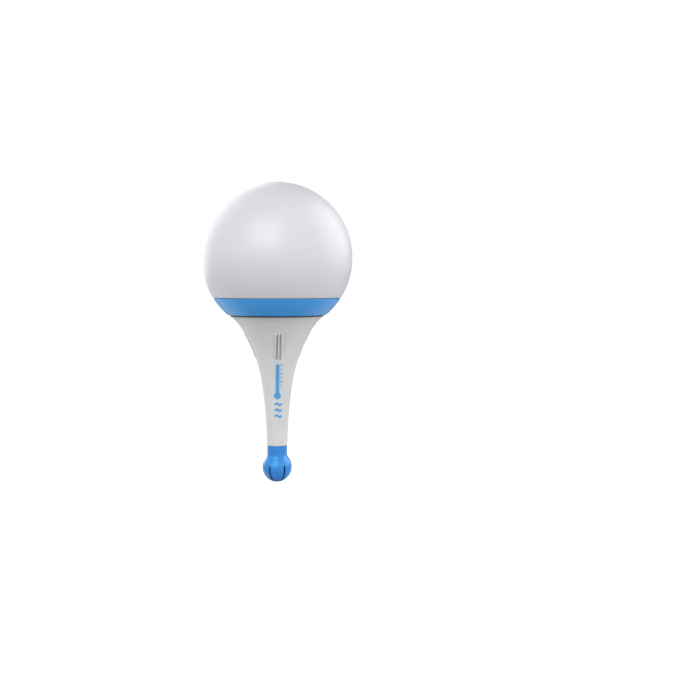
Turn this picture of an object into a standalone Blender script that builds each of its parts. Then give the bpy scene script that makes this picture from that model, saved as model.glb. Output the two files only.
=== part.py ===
"""Floating pool thermometer: a hollow globe that unscrews from a slim, weighted sensor stem.

Metres, +Z up. The origin is where the water's surface crosses the float's axis. All the pieces
hang on one empty at the globe's centre, so the heights below are measured from that centre.
The front is -Y: the battery tray faces it, and the circuit board is behind the tray.
"""

import math

import bmesh
import bpy
from mathutils import Matrix, Vector

MM = 0.001
GAP = 0.3 * MM  # running and assembly clearance between neighbouring pieces
OVERLAP = 1.0 * MM  # how far a cutter runs past a face, or an added shape goes into one

# The globe's centre stands this far above the water's surface
GLOBE_CENTRE_HEIGHT = 17.0 * MM

# Globe and band share one outer sphere
SPHERE_RADIUS = 47.5 * MM
GLOBE_WALL = 2.0 * MM
SEAM_Z = -25.2 * MM
SEAM_GAP = 0.35 * MM
SKIRT_RADIUS = 45.2 * MM
SKIRT_WALL = 1.8 * MM
SKIRT_END_Z = -31.0 * MM
SKIRT_BLEND = 6.0 * MM  # height over which the thin skirt grows into the globe's full wall
BAND_WALL = 2.0 * MM
BAND_BOTTOM_Z = -36.0 * MM

# Quick thread between the band's sleeve and the stem's spigot
SLEEVE_RADIUS = 26.2 * MM
SLEEVE_WALL = 2.2 * MM
SPIGOT_RADIUS = 24.0 * MM
SPIGOT_WALL = 2.0 * MM
SPIGOT_TOP_Z = -26.0 * MM
THREAD_LEAD = 24.0 * MM
THREAD_STARTS = 4
LUG_SWEEP = math.radians(62)
LUG_ROOT_HEIGHT = 1.8 * MM
LUG_TIP_HEIGHT = 1.2 * MM
LUG_ROOT_DEPTH = 0.6 * MM  # how far a lug's root is buried in its wall
MALE_LUG_RADIUS = 25.8 * MM
MALE_LUG_Z = -31.8 * MM
FEMALE_LUG_RADIUS = 25.0 * MM
FEMALE_LUG_Z = MALE_LUG_Z - LUG_ROOT_HEIGHT - GAP

# Sealing washer in the band's underside
WASHER_INNER_RADIUS = 26.4 * MM
WASHER_OUTER_RADIUS = 29.6 * MM
WASHER_ROOF_Z = -35.2 * MM
WASHER_EDGE = 0.2 * MM

# Stem: a flare that decays towards a slim tube, with a thin lip under the band
FLANGE_Z = -36.8 * MM
STEM_END_Z = -118.0 * MM
STEM_WALL = 2.0 * MM
STEM_CORE = 5.6 * MM
FLARE = 23.0 * MM
FLARE_LENGTH = 24.3 * MM
LIP = 1.2 * MM
LIP_LENGTH = 1.0 * MM
STEM_RINGS = 16
SHOULDER_Z = -115.5 * MM  # where the bore narrows to the lower spigot's
SHOULDER_DROP = 0.5 * MM
TIP_SPIGOT_RADIUS = 4.7 * MM
TIP_SPIGOT_BORE = 3.7 * MM
TIP_SPIGOT_END_Z = -125.5 * MM

# Four groups of three grip ribs
RIB_RADIUS = 0.55 * MM
RIB_PITCH = 2.05 * MM
RIB_TOP_Z = -48.2 * MM
RIB_END_Z = -63.4 * MM
RIB_STEPS = 6
RIB_GROUPS = 4

# Four bosses inside the stem's mouth carry the battery holder's floor
BOSS_ANGLES = (60, 120, 240, 300)
BOSS_CIRCLE = 16.5 * MM
BOSS_RADIUS = 2.8 * MM
BOSS_TOP_Z = -40.8 * MM
BOSS_END_Z = -48.0 * MM
PILOT_DEPTH = 5.5 * MM
SCREW_SHANK = 1.15 * MM
SCREW_POINT = 0.5 * MM
SCREW_TAPER = 1.2 * MM
SCREW_HEAD = 2.3 * MM
SCREW_HEAD_HEIGHT = 1.5 * MM
SCREW_EDGE = 0.4 * MM
SCREW_LENGTH = 6.5 * MM

# Slotted bulb over the sensor
NECK_RADIUS = 6.2 * MM
BULB_RADIUS = 9.2 * MM
BULB_Z = -131.95 * MM
BULB_JOIN = 5.5 * MM  # where the neck's flare meets the sphere, above the bulb's centre
BULB_INNER_RADIUS = 7.9 * MM
NECK_STEPS = 5
TIP_BORE = 5.0 * MM
TIP_BORE_END_Z = -126.5 * MM
TIP_FLAT_Z = -140.9 * MM
TIP_FLOOR = 1.2 * MM
SLOT_COUNT = 6
SLOT_WIDTH = 0.9 * MM
SLOT_TOP_Z = -129.8 * MM
SLOT_TURN = math.radians(-3)  # the pressed-in bulb stands a little askew of the ribs
SLOT_INNER_RADIUS = 3.2 * MM

# Sensor: a bead in a steel cup, which a rubber plug closes
CUP_RADIUS = 4.2 * MM
CUP_WALL = 0.5 * MM
CUP_TOP_Z = -127.3 * MM
CUP_END_Z = -137.5 * MM
CUP_CORNER = 1.5 * MM
LEAD_BORE = 1.6 * MM
PLUG_FLANGE_RADIUS = 4.6 * MM
PLUG_TOP_LENGTH = 8.5 * MM
PLUG_LOW_LENGTH = 4.0 * MM
BEAD_RADIUS = 1.3 * MM
BEAD_Z = -134.2 * MM

# Steel slug in the slim part of the stem
BALLAST_TOP_Z = -80.0 * MM
BALLAST_END_Z = -114.0 * MM
BALLAST_CLEARANCE = 0.5 * MM
BALLAST_STEPS = 3

# Two AAA cells side by side
CELL_RADIUS = 5.2 * MM
CELL_LENGTH = 44.3 * MM
CELL_NUB_RADIUS = 1.9 * MM
CELL_NUB = 0.9 * MM
CELL_EDGE = 0.5 * MM
CELL_X = 5.7 * MM
CELL_Y = -5.5 * MM
CELL_Z = -10.85 * MM
CELL_TOP_Z = CELL_Z + CELL_LENGTH / 2
CELL_END_Z = CELL_Z - CELL_LENGTH / 2

# Battery holder: a round floor and an open tray
FLOOR_RADIUS = 21.4 * MM
FLOOR_Z = -40.5 * MM
FLOOR_THICKNESS = 2.0 * MM
TRAY_WALL = 1.5 * MM
TRAY_HALF_WIDTH = 12.85 * MM
TRAY_BACK_Y = 1.8 * MM
TRAY_FRONT_Y = -9.5 * MM
TRAY_TOP_Z = 16.8 * MM
POCKET_END_Z = -37.0 * MM
POCKET_TOP_Z = TRAY_TOP_Z - TRAY_WALL
RETAINER = 2.5 * MM  # full-depth side walls left at the tray's two ends
FINGER_END_Z = -19.0 * MM
FINGER_TOP_Z = -3.0 * MM
FINGER_BACK_Y = -2.1 * MM
STANDOFF_RADIUS = 2.4 * MM
LEAD_HOLE_RADIUS = 3.2 * MM
LEAD_HOLE_Y = 9.3 * MM

# Contacts: sheet plates and coil springs
SHEET = 0.4 * MM
PLATE_FRONT_Y = CELL_Y - 3.6 * MM
PLATE_BACK_Y = -1.2 * MM
BRIDGE_HALF_WIDTH = 10.2 * MM
PLATE_HALF_WIDTH = 4.6 * MM
BUMP_RADIUS = 3.0 * MM
SPRING_RADIUS = 3.4 * MM
SPRING_TAPER = 0.6
SPRING_WIRE = 0.3 * MM
SPRING_TURNS = 3
TAB_HALF_WIDTH = 1.4 * MM
TAB_Y = -2.4 * MM
TAB_SLOT_CLEARANCE = 0.5 * MM
TAB_RISE = 2.0 * MM  # the tabs stand this far out of the tray's top

# Circuit board on two standoffs behind the tray
BOARD_Y = 5.4 * MM
BOARD_THICKNESS = 1.6 * MM
BOARD_HALF_WIDTH = 12.0 * MM
BOARD_TOP_Z = 17.0 * MM
BOARD_END_Z = -35.0 * MM
BOARD_NEAR_Y = BOARD_Y - BOARD_THICKNESS / 2
BOARD_FAR_Y = BOARD_Y + BOARD_THICKNESS / 2
BOARD_SCREWS = ((-9.0 * MM, 12.5 * MM), (9.0 * MM, -31.0 * MM))
BOARD_SCREW_LENGTH = 4.2 * MM
BOARD_SCREW_SHANK = 0.7 * MM
BOARD_SCREW_HEAD = 1.9 * MM
BOARD_SCREW_HEAD_HEIGHT = 1.2 * MM
PARTS_Y = BOARD_FAR_Y + GAP  # where the parts stand on the board

# Chips: the place (x, z) and the size (width, depth, height) of each
CHIPS = {
    "control_chip": ((-2.0 * MM, -8.0 * MM), (9.9 * MM, 1.7 * MM, 6.0 * MM)),
    "radio_chip": ((6.5 * MM, 4.0 * MM), (5.0 * MM, 1.5 * MM, 6.2 * MM)),
}
CHIP_EDGE = 0.25 * MM
CRYSTAL_AT = (-4.0 * MM, 2.5 * MM)
CRYSTAL_RADIUS = 2.1 * MM
CRYSTAL_HALF_LENGTH = 3.2 * MM
CRYSTAL_DEPTH = 3.4 * MM
CRYSTAL_STEPS = 6
CAPACITOR_AT = (8.0 * MM, -7.0 * MM)
CAPACITOR_RADIUS = 2.5 * MM
CAPACITOR_DEPTH = 6.4 * MM
CAPACITOR_EDGE = 0.4 * MM
LED_AT = (-9.0 * MM, 6.5 * MM)
LED_RADIUS = 1.5 * MM
LED_RIM = 1.9 * MM
LED_RIM_DEPTH = 0.8 * MM
LED_DOME_DEPTH = 1.7 * MM
ANTENNA_X = 4.0 * MM
ANTENNA_RADIUS = 2.4 * MM
ANTENNA_WIRE = 0.4 * MM
ANTENNA_TURNS = 6
ANTENNA_FOOT = 2.0 * MM
ANTENNA_LENGTH = 10.0 * MM

# Three-way channel selector
SELECTOR_X = -4.5 * MM
SELECTOR_Z = -19.0 * MM
SELECTOR_SIZE = (10.4 * MM, 3.8 * MM, 4.4 * MM)
SELECTOR_SLOT = (7.0 * MM, 2.6 * MM, 2.2 * MM)
SLIDER_SIZE = (2.2 * MM, 4.6 * MM, 1.6 * MM)
SLIDER_DEPTH = 1.6 * MM
SLIDER_TRAVEL = 4.0 * MM

# Test button
BUTTON_X = 7.0 * MM
BUTTON_Z = -19.0 * MM
BUTTON_BODY = (6.0 * MM, 3.5 * MM, 6.0 * MM)
BUTTON_WELL_RADIUS = 2.1 * MM
BUTTON_WELL_FLOOR = 2.0 * MM
BUTTON_RADIUS = 1.7 * MM
BUTTON_LENGTH = 2.4 * MM
BUTTON_ROOM = 0.7 * MM  # between the button at rest and the well's floor

# Sensor connector at the board's lower edge: corners, with y measured from PARTS_Y
SOCKET_LOW = (-4.0 * MM, 0.0, -34.0 * MM)
SOCKET_HIGH = (4.0 * MM, 5.6 * MM, -27.5 * MM)
MOUTH_LOW = (-3.1 * MM, 0.9 * MM, -36.0 * MM)
MOUTH_HIGH = (3.1 * MM, 4.7 * MM, -29.0 * MM)
PLUG_LOW = (-2.8 * MM, 1.2 * MM, -35.5 * MM)
PLUG_HIGH = (2.8 * MM, 4.4 * MM, -29.3 * MM)
PLUG_EDGE = 0.2 * MM

# Wires: points (x, y, z) in millimetres. The other wire of each pair mirrors them in x
LEAD_RADIUS = 0.45 * MM
LEAD_ROUTE = (
    (1.3, 9.3, -35.9),
    (1.3, 9.3, -42.0),
    (0.65, 7.0, -53.0),
    (0.65, 1.5, -68.0),
    (0.65, 0.0, -79.0),
    (0.65, 0.0, -97.0),
    (0.65, 0.0, -115.0),
    (0.65, 0.0, -132.5),
)
CELL_WIRE_RADIUS = 0.55 * MM
CELL_WIRE_ROUTE = (
    (5.7, -2.4, 19.1),
    (5.7, -1.6, 21.1),
    (6.5, 2.5, 22.3),
    (8.2, 7.0, 19.9),
    (8.2, 7.6, 17.4),
    (8.2, 7.05, 15.5),
)
ROUTE_STEPS = 3

# Segments round the turned pieces, by size
COARSE = 40
MEDIUM = 24
FINE = 14

WHITE = (0.75, 0.74, 0.80)
GREY = (0.69, 0.69, 0.68)
BLUE = (0.07, 0.26, 0.57)
TIP_BLUE = (0.06, 0.28, 0.74)
DARK = (0.03, 0.03, 0.035)
STEEL = (0.60, 0.60, 0.62)
NICKEL = (0.72, 0.70, 0.66)
IVORY = (0.78, 0.76, 0.70)
BOARD_GREEN = (0.02, 0.16, 0.07)
COPPER = (0.70, 0.38, 0.20)
JACKET = (0.10, 0.11, 0.13)
RED = (0.62, 0.03, 0.03)

ALONG_Y = Matrix.Rotation(math.radians(-90), 4, "X")  # turns a shape's +Z to +Y


def clear_scene():
    for old in list(bpy.data.objects):
        bpy.data.objects.remove(old, do_unlink=True)


def finish(name, colour, roughness, metallic=0.0):
    """A plain Principled material."""
    made = bpy.data.materials.new(name)
    made.use_nodes = True
    shader = made.node_tree.nodes["Principled BSDF"]
    shader.inputs["Base Color"].default_value = (*colour, 1.0)
    shader.inputs["Roughness"].default_value = roughness
    shader.inputs["Metallic"].default_value = metallic
    made.diffuse_color = (*colour, 1.0)
    return made


def add_object(name, data, parent=None, location=(0, 0, 0), rotation=(0, 0, 0)):
    made = bpy.data.objects.new(name, data)
    bpy.context.scene.collection.objects.link(made)
    made.parent = parent
    made.location = location
    made.rotation_euler = rotation
    return made


def place(name, mesh, material, parent, location=(0, 0, 0), rotation=(0, 0, 0)):
    """One named piece, smooth on its round faces."""
    mesh.materials.clear()
    mesh.materials.append(material)
    mesh.shade_smooth()
    mesh.set_sharp_from_angle(angle=math.radians(35))
    return add_object(name, mesh, parent, location, rotation)


def to_mesh(bm, name):
    bmesh.ops.remove_doubles(bm, verts=bm.verts, dist=1e-6)
    bmesh.ops.recalc_face_normals(bm, faces=bm.faces)
    mesh = bpy.data.meshes.new(name)
    bm.to_mesh(mesh)
    bm.free()
    return mesh


def turned(name, outline, segments=COARSE):
    """Spins (radius, z) points about Z. An outline that doesn't start and end on Z is a ring."""
    bm = bmesh.new()
    points = [bm.verts.new((radius, 0, z)) for radius, z in outline]
    edges = [bm.edges.new(pair) for pair in zip(points, points[1:])]
    if outline[0][0] > 0 or outline[-1][0] > 0:
        edges.append(bm.edges.new((points[-1], points[0])))
    bmesh.ops.spin(
        bm, geom=points + edges, cent=(0, 0, 0), axis=(0, 0, 1), angle=math.tau, steps=segments
    )
    return to_mesh(bm, name)


def sphere_radius(radius, height):
    """The radius of a sphere's slice at a height from its centre."""
    return math.sqrt(radius * radius - height * height)


def sphere_arc(radius, start, end, steps, centre=0.0):
    """Points (radius, z) along a sphere's outline between two heights, evenly spaced in angle."""
    first = math.asin(max(-1.0, min(1.0, (start - centre) / radius)))
    last = math.asin(max(-1.0, min(1.0, (end - centre) / radius)))
    angles = [first + (last - first) * k / steps for k in range(steps + 1)]
    return [(max(0.0, radius * math.cos(a)), centre + radius * math.sin(a)) for a in angles]


def block(name, low, high, bevel=0.0):
    """A box between two corners, with its edges bevelled if asked."""
    bm = bmesh.new()
    bmesh.ops.create_cube(bm, size=1.0)
    low, high = Vector(low), Vector(high)
    bmesh.ops.scale(bm, vec=high - low, verts=bm.verts)
    bmesh.ops.translate(bm, vec=(low + high) / 2, verts=bm.verts)
    if bevel:
        bmesh.ops.bevel(
            bm, geom=bm.edges[:], offset=bevel, segments=1, affect="EDGES", clamp_overlap=True
        )
    return to_mesh(bm, name)


def board_block(name, centre, size, bevel=0.0):
    """A box that stands on the board, from its centre's x and z and its three sizes."""
    (x, z), (width, depth, height) = centre, size
    low = (x - width / 2, PARTS_Y, z - height / 2)
    return block(name, low, (x + width / 2, PARTS_Y + depth, z + height / 2), bevel)


def rod(name, radius, start, end, segments=FINE):
    """A plain cylinder on the Z axis."""
    return turned(name, [(0, start), (radius, start), (radius, end), (0, end)], segments)


def moved(mesh, location=(0, 0, 0), rotation=None):
    mesh.transform(Matrix.Translation(location) @ (rotation or Matrix.Identity(4)))
    return mesh


def boolean(target, operation, name, meshes):
    """Cuts closed meshes from the target, or joins them to it. They stay as one hidden helper."""
    bm = bmesh.new()
    for mesh in meshes:
        bm.from_mesh(mesh)
    shape = bpy.data.meshes.new(name)
    bm.to_mesh(shape)
    bm.free()
    helper = add_object(name, shape, target)
    helper.hide_render = True
    helper.display_type = "WIRE"
    modifier = target.modifiers.new(name, "BOOLEAN")
    modifier.object = helper
    modifier.operation = operation
    modifier.solver = "EXACT"


def round_curve(name, points, radius):
    """A curve with a round section and closed ends."""
    curve = bpy.data.curves.new(name, "CURVE")
    curve.dimensions = "3D"
    spline = curve.splines.new("POLY")
    spline.points.add(len(points) - 1)
    for target, point in zip(spline.points, points):
        target.co = (*point, 1.0)
    curve.bevel_depth = radius
    curve.bevel_resolution = 1
    curve.use_fill_caps = True
    return curve


def wire(name, points, radius, material, parent, location=(0, 0, 0)):
    curve = round_curve(name, points, radius)
    curve.materials.append(material)
    return add_object(name, curve, parent, location)


def smooth_route(points):
    """A Catmull-Rom curve through points that are in millimetres."""
    knots = [Vector(p) * MM for p in points]
    knots = [knots[0] * 2 - knots[1], *knots, knots[-1] * 2 - knots[-2]]
    route = []
    for a, b, c, d in zip(knots, knots[1:], knots[2:], knots[3:]):
        for k in range(ROUTE_STEPS):
            t = k / ROUTE_STEPS
            square = a * 2 - b * 5 + c * 4 - d
            cube = b * 3 - a - c * 3 + d
            route.append((b * 2 + (c - a) * t + square * t**2 + cube * t**3) / 2)
    return [*route, knots[-2]]


def helix(start_radius, end_radius, start_z, end_z, turns, steps_per_turn):
    """Points along a coil about Z, which may be conical."""
    count = turns * steps_per_turn
    points = []
    for k in range(count + 1):
        share = k / count
        radius = start_radius + (end_radius - start_radius) * share
        angle = math.tau * turns * share
        height = start_z + (end_z - start_z) * share
        points.append(Vector((radius * math.cos(angle), radius * math.sin(angle), height)))
    return points


def thread_lug(root_radius, tip_radius, z, start_angle, steps=8):
    """One helical lug: a tapered bar swept along the thread, from its root wall to its tip."""
    section = (
        (root_radius, -LUG_ROOT_HEIGHT / 2),
        (tip_radius, -LUG_TIP_HEIGHT / 2),
        (tip_radius, LUG_TIP_HEIGHT / 2),
        (root_radius, LUG_ROOT_HEIGHT / 2),
    )
    bm = bmesh.new()
    rings = []
    for k in range(steps + 1):
        turn = LUG_SWEEP * k / steps
        angle = start_angle + turn
        rise = z + THREAD_LEAD * turn / math.tau
        ring = [
            bm.verts.new((radius * math.cos(angle), radius * math.sin(angle), rise + height))
            for radius, height in section
        ]
        rings.append(ring)
    for first, second in zip(rings, rings[1:]):
        for k in range(4):
            following = (k + 1) % 4
            bm.faces.new((first[k], first[following], second[following], second[k]))
    bm.faces.new(rings[0])
    bm.faces.new(rings[-1])
    return to_mesh(bm, "lug")


def thread_lugs(root_radius, tip_radius, z):
    starts = [math.tau * k / THREAD_STARTS for k in range(THREAD_STARTS)]
    return [thread_lug(root_radius, tip_radius, z, start) for start in starts]


def build_globe(parent, material):
    """The globe is open below. Its thinner skirt steps inwards and sits inside the band."""
    inner = SPHERE_RADIUS - GLOBE_WALL
    skirt_inner = SKIRT_RADIUS - SKIRT_WALL
    outline = [
        *sphere_arc(SPHERE_RADIUS, SPHERE_RADIUS, 0, 10),
        *sphere_arc(SPHERE_RADIUS, 0, SEAM_Z, 4),
        *sphere_arc(SKIRT_RADIUS, SEAM_Z, SKIRT_END_Z, 2),
        *sphere_arc(skirt_inner, SKIRT_END_Z, SEAM_Z + GLOBE_WALL, 2),
        *sphere_arc(inner, SEAM_Z + SKIRT_BLEND, inner, 11),
    ]
    place("globe", turned("globe", outline), material, parent)


def build_band(parent, material):
    """A channel: the outer wall follows the sphere, and the inner sleeve holds the thread."""
    roof = BAND_BOTTOM_Z + BAND_WALL
    top = SEAM_Z - SEAM_GAP
    outline = [
        *sphere_arc(SPHERE_RADIUS, top, BAND_BOTTOM_Z, 5),
        (WASHER_OUTER_RADIUS + GAP, BAND_BOTTOM_Z),
        (WASHER_OUTER_RADIUS + GAP, WASHER_ROOF_Z),
        (SLEEVE_RADIUS, WASHER_ROOF_Z),
        (SLEEVE_RADIUS, SPIGOT_TOP_Z),
        (SLEEVE_RADIUS + SLEEVE_WALL, SPIGOT_TOP_Z),
        (SLEEVE_RADIUS + SLEEVE_WALL, roof),
        *sphere_arc(SPHERE_RADIUS - BAND_WALL, roof, top, 4),
    ]
    band = place("blue_band", turned("blue_band", outline), material, parent)
    lugs = thread_lugs(SLEEVE_RADIUS + LUG_ROOT_DEPTH, FEMALE_LUG_RADIUS, FEMALE_LUG_Z)
    boolean(band, "UNION", "band_lugs", lugs)


def build_washer(parent, material):
    """The rubber washer lies in the band's underside and seals on the stem's flange."""
    low, high = FLANGE_Z + GAP, WASHER_ROOF_Z - GAP
    inner, outer = WASHER_INNER_RADIUS, WASHER_OUTER_RADIUS
    outline = [
        (inner + WASHER_EDGE, low),
        (outer - WASHER_EDGE, low),
        (outer, low + WASHER_EDGE),
        (outer, high - WASHER_EDGE),
        (outer - WASHER_EDGE, high),
        (inner + WASHER_EDGE, high),
        (inner, high - WASHER_EDGE),
        (inner, low + WASHER_EDGE),
    ]
    place("sealing_washer", turned("sealing_washer", outline), material, parent)


def stem_radius(z):
    depth = FLANGE_Z - z
    flare = FLARE * math.exp(-depth / FLARE_LENGTH)
    return STEM_CORE + flare + LIP * math.exp(-depth / LIP_LENGTH)


def stem_slope(z):
    """How fast the stem's radius grows with height."""
    depth = FLANGE_Z - z
    flare = FLARE / FLARE_LENGTH * math.exp(-depth / FLARE_LENGTH)
    return flare + LIP / LIP_LENGTH * math.exp(-depth / LIP_LENGTH)


def stem_curves():
    """The stem's outer curve, and its inner one a wall's thickness in along the normal."""
    length = FLANGE_Z - STEM_END_Z
    heights = [FLANGE_Z - length * (k / STEM_RINGS) ** 2 for k in range(STEM_RINGS + 1)]
    outer = [(stem_radius(z), z) for z in heights]
    bore = SPIGOT_RADIUS - SPIGOT_WALL
    inner = []
    for radius, z in outer:
        slope = stem_slope(z)
        normal = math.hypot(1.0, slope)
        point = (radius - STEM_WALL / normal, z + STEM_WALL * slope / normal)
        if point[0] < bore - GAP and point[1] > SHOULDER_Z + OVERLAP:
            inner.append(point)
    (first_radius, first_z), slope = inner[0], stem_slope(inner[0][1])
    mouth = (bore, first_z + (bore - first_radius) / slope)
    end = (stem_radius(SHOULDER_Z) - STEM_WALL, SHOULDER_Z)
    return outer, [mouth, *inner, end]


def grip_rib(offset):
    """One upright rib: a half-buried round bar that follows the stem's front face."""
    points = []
    for k in range(RIB_STEPS + 1):
        z = RIB_TOP_Z + (RIB_END_Z - RIB_TOP_Z) * k / RIB_STEPS
        points.append((offset, -sphere_radius(stem_radius(z), offset), z))
    source = bpy.data.objects.new("rib", round_curve("rib", points, RIB_RADIUS))
    bm = bmesh.new()
    bm.from_mesh(source.to_mesh())
    bpy.data.objects.remove(source)
    return to_mesh(bm, "rib")


def screw_places():
    angles = [math.radians(a) for a in BOSS_ANGLES]
    return [(BOSS_CIRCLE * math.cos(a), BOSS_CIRCLE * math.sin(a), 0) for a in angles]


def build_stem(parent, material):
    """The funnel and its slim tube, with a threaded spigot above and a plain one below."""
    outer, inner = stem_curves()
    outline = [
        (SPIGOT_RADIUS - SPIGOT_WALL, SPIGOT_TOP_Z),
        (SPIGOT_RADIUS, SPIGOT_TOP_Z),
        (SPIGOT_RADIUS, FLANGE_Z),
        *outer,
        (TIP_SPIGOT_RADIUS, STEM_END_Z),
        (TIP_SPIGOT_RADIUS, TIP_SPIGOT_END_Z),
        (TIP_SPIGOT_BORE, TIP_SPIGOT_END_Z),
        (TIP_SPIGOT_BORE, SHOULDER_Z - SHOULDER_DROP),
        *reversed(inner),
    ]
    stem = place("stem_funnel", turned("stem_funnel", outline), material, parent)
    lugs = thread_lugs(SPIGOT_RADIUS - LUG_ROOT_DEPTH, MALE_LUG_RADIUS, MALE_LUG_Z)
    boolean(stem, "UNION", "spigot_lugs", lugs)
    ribs = []
    for group in range(RIB_GROUPS):
        turn = Matrix.Rotation(math.tau * group / RIB_GROUPS, 4, "Z")
        ribs += [moved(grip_rib(side * RIB_PITCH), rotation=turn) for side in (-1, 0, 1)]
    boolean(stem, "UNION", "grip_ribs", ribs)
    bosses, pilots = [], []
    for spot in screw_places():
        bosses.append(moved(rod("boss", BOSS_RADIUS, BOSS_END_Z, BOSS_TOP_Z), spot))
        low = BOSS_TOP_Z - PILOT_DEPTH
        pilots.append(moved(rod("pilot", SCREW_SHANK + GAP, low, BOSS_TOP_Z + OVERLAP), spot))
    boolean(stem, "UNION", "bosses", bosses)
    boolean(stem, "DIFFERENCE", "pilot_holes", pilots)


def build_tip(parent, material):
    """A neck that flares into a bulb, with upright slots that let the water reach the sensor."""
    join_radius = sphere_radius(BULB_RADIUS, BULB_JOIN)
    join_z = BULB_Z + BULB_JOIN
    gain = join_radius - NECK_RADIUS
    flare_length = 2 * gain * join_radius / BULB_JOIN  # a parabola that meets the sphere smoothly
    flare = []
    for k in range(NECK_STEPS):
        share = k / NECK_STEPS
        flare.append((NECK_RADIUS + gain * share**2, join_z + flare_length * (1 - share)))
    floor_z = TIP_FLAT_Z + TIP_FLOOR
    top_z = STEM_END_Z - GAP
    outline = [
        (0, floor_z),
        *sphere_arc(BULB_INNER_RADIUS, floor_z, TIP_BORE_END_Z, 8, BULB_Z),
        (TIP_BORE, TIP_BORE_END_Z),
        (TIP_BORE, top_z),
        (NECK_RADIUS, top_z),
        *flare,
        *sphere_arc(BULB_RADIUS, join_z, TIP_FLAT_Z, 9, BULB_Z),
        (0, TIP_FLAT_Z),
    ]
    tip = place("tip_cage", turned("tip_cage", outline), material, parent)
    low = (SLOT_INNER_RADIUS, -SLOT_WIDTH / 2, TIP_FLAT_Z - OVERLAP)
    high = (BULB_RADIUS + OVERLAP, SLOT_WIDTH / 2, SLOT_TOP_Z)
    angles = [SLOT_TURN + math.tau * k / SLOT_COUNT for k in range(SLOT_COUNT)]
    turns = [Matrix.Rotation(angle, 4, "Z") for angle in angles]
    slots = [moved(block("slot", low, high), rotation=turn) for turn in turns]
    boolean(tip, "DIFFERENCE", "tip_slots", slots)


def build_cup(parent, material):
    """The sensor's deep-drawn cup, open above, with rounded corners at its closed end."""
    inner = CUP_RADIUS - CUP_WALL
    inner_corner = CUP_CORNER - CUP_WALL
    corner_z = CUP_END_Z + CUP_CORNER
    middle = CUP_RADIUS - CUP_CORNER
    angles = [math.radians(a) for a in (0, 30, 60, 90)]
    outside = [
        (middle + CUP_CORNER * math.sin(a), corner_z - CUP_CORNER * math.cos(a)) for a in angles
    ]
    inside = [
        (middle + inner_corner * math.cos(a), corner_z - inner_corner * math.sin(a))
        for a in angles
    ]
    outline = [
        (0, CUP_END_Z),
        *outside,
        (CUP_RADIUS, CUP_TOP_Z),
        (inner, CUP_TOP_Z),
        *inside,
        (0, CUP_END_Z + CUP_WALL),
    ]
    place("probe_cup", turned("probe_cup", outline, MEDIUM), material, parent)


def build_plug_and_bead(parent, rubber, resin):
    """The rubber plug closes the stem above its flange and the cup below it."""
    boss = TIP_SPIGOT_BORE - GAP
    flange_top = TIP_SPIGOT_END_Z - GAP
    flange_end = CUP_TOP_Z + GAP
    outline = [
        (LEAD_BORE, flange_top + PLUG_TOP_LENGTH),
        (boss, flange_top + PLUG_TOP_LENGTH),
        (boss, flange_top),
        (PLUG_FLANGE_RADIUS, flange_top),
        (PLUG_FLANGE_RADIUS, flange_end),
        (boss, flange_end),
        (boss, flange_end - PLUG_LOW_LENGTH),
        (LEAD_BORE, flange_end - PLUG_LOW_LENGTH),
    ]
    place("probe_plug", turned("probe_plug", outline, MEDIUM), rubber, parent)
    bead = turned("thermistor", sphere_arc(BEAD_RADIUS, -BEAD_RADIUS, BEAD_RADIUS, 6), FINE)
    place("thermistor", bead, resin, parent, (0, 0, BEAD_Z))


def build_ballast(parent, material):
    """A tapered steel slug, bored for the sensor leads, keeps the float upright."""
    outline = [(LEAD_BORE, BALLAST_TOP_Z), (LEAD_BORE, BALLAST_END_Z)]
    for k in range(BALLAST_STEPS + 1):
        z = BALLAST_END_Z + (BALLAST_TOP_Z - BALLAST_END_Z) * k / BALLAST_STEPS
        outline.append((stem_radius(z) - STEM_WALL - BALLAST_CLEARANCE, z))
    place("ballast_weight", turned("ballast_weight", outline, MEDIUM), material, parent)


def build_holder(parent, plastic):
    """A round floor, and on it an open tray for the two cells, with standoffs for the board."""
    low = (-TRAY_HALF_WIDTH, TRAY_FRONT_Y, FLOOR_Z + FLOOR_THICKNESS / 2)
    tray = block("battery_holder", low, (TRAY_HALF_WIDTH, TRAY_BACK_Y, TRAY_TOP_Z))
    holder = place("battery_holder", tray, plastic, parent)
    added = [rod("floor", FLOOR_RADIUS, FLOOR_Z, FLOOR_Z + FLOOR_THICKNESS, COARSE)]
    for x, z in BOARD_SCREWS:
        standoff = rod("standoff", STANDOFF_RADIUS, TRAY_BACK_Y - OVERLAP / 2, BOARD_NEAR_Y - GAP)
        added.append(moved(standoff, (x, 0, z), ALONG_Y))
    boolean(holder, "UNION", "floor_and_standoffs", added)

    wide = TRAY_HALF_WIDTH + OVERLAP
    half = TRAY_HALF_WIDTH - TRAY_WALL
    front = TRAY_FRONT_Y - OVERLAP
    hollows = {
        "tray_pocket": (
            (-half, front, POCKET_END_Z),
            (half, TRAY_BACK_Y - TRAY_WALL, POCKET_TOP_Z),
        ),
        "tray_sides": (
            (-wide, front, POCKET_END_Z + RETAINER),
            (wide, CELL_Y, POCKET_TOP_Z - RETAINER),
        ),
        "finger_gap": ((-wide, front, FINGER_END_Z), (wide, FINGER_BACK_Y, FINGER_TOP_Z)),
    }
    for name, corners in hollows.items():
        boolean(holder, "DIFFERENCE", name, [block(name, *corners)])
    boolean(holder, "DIFFERENCE", "holder_holes", holder_holes())


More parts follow.
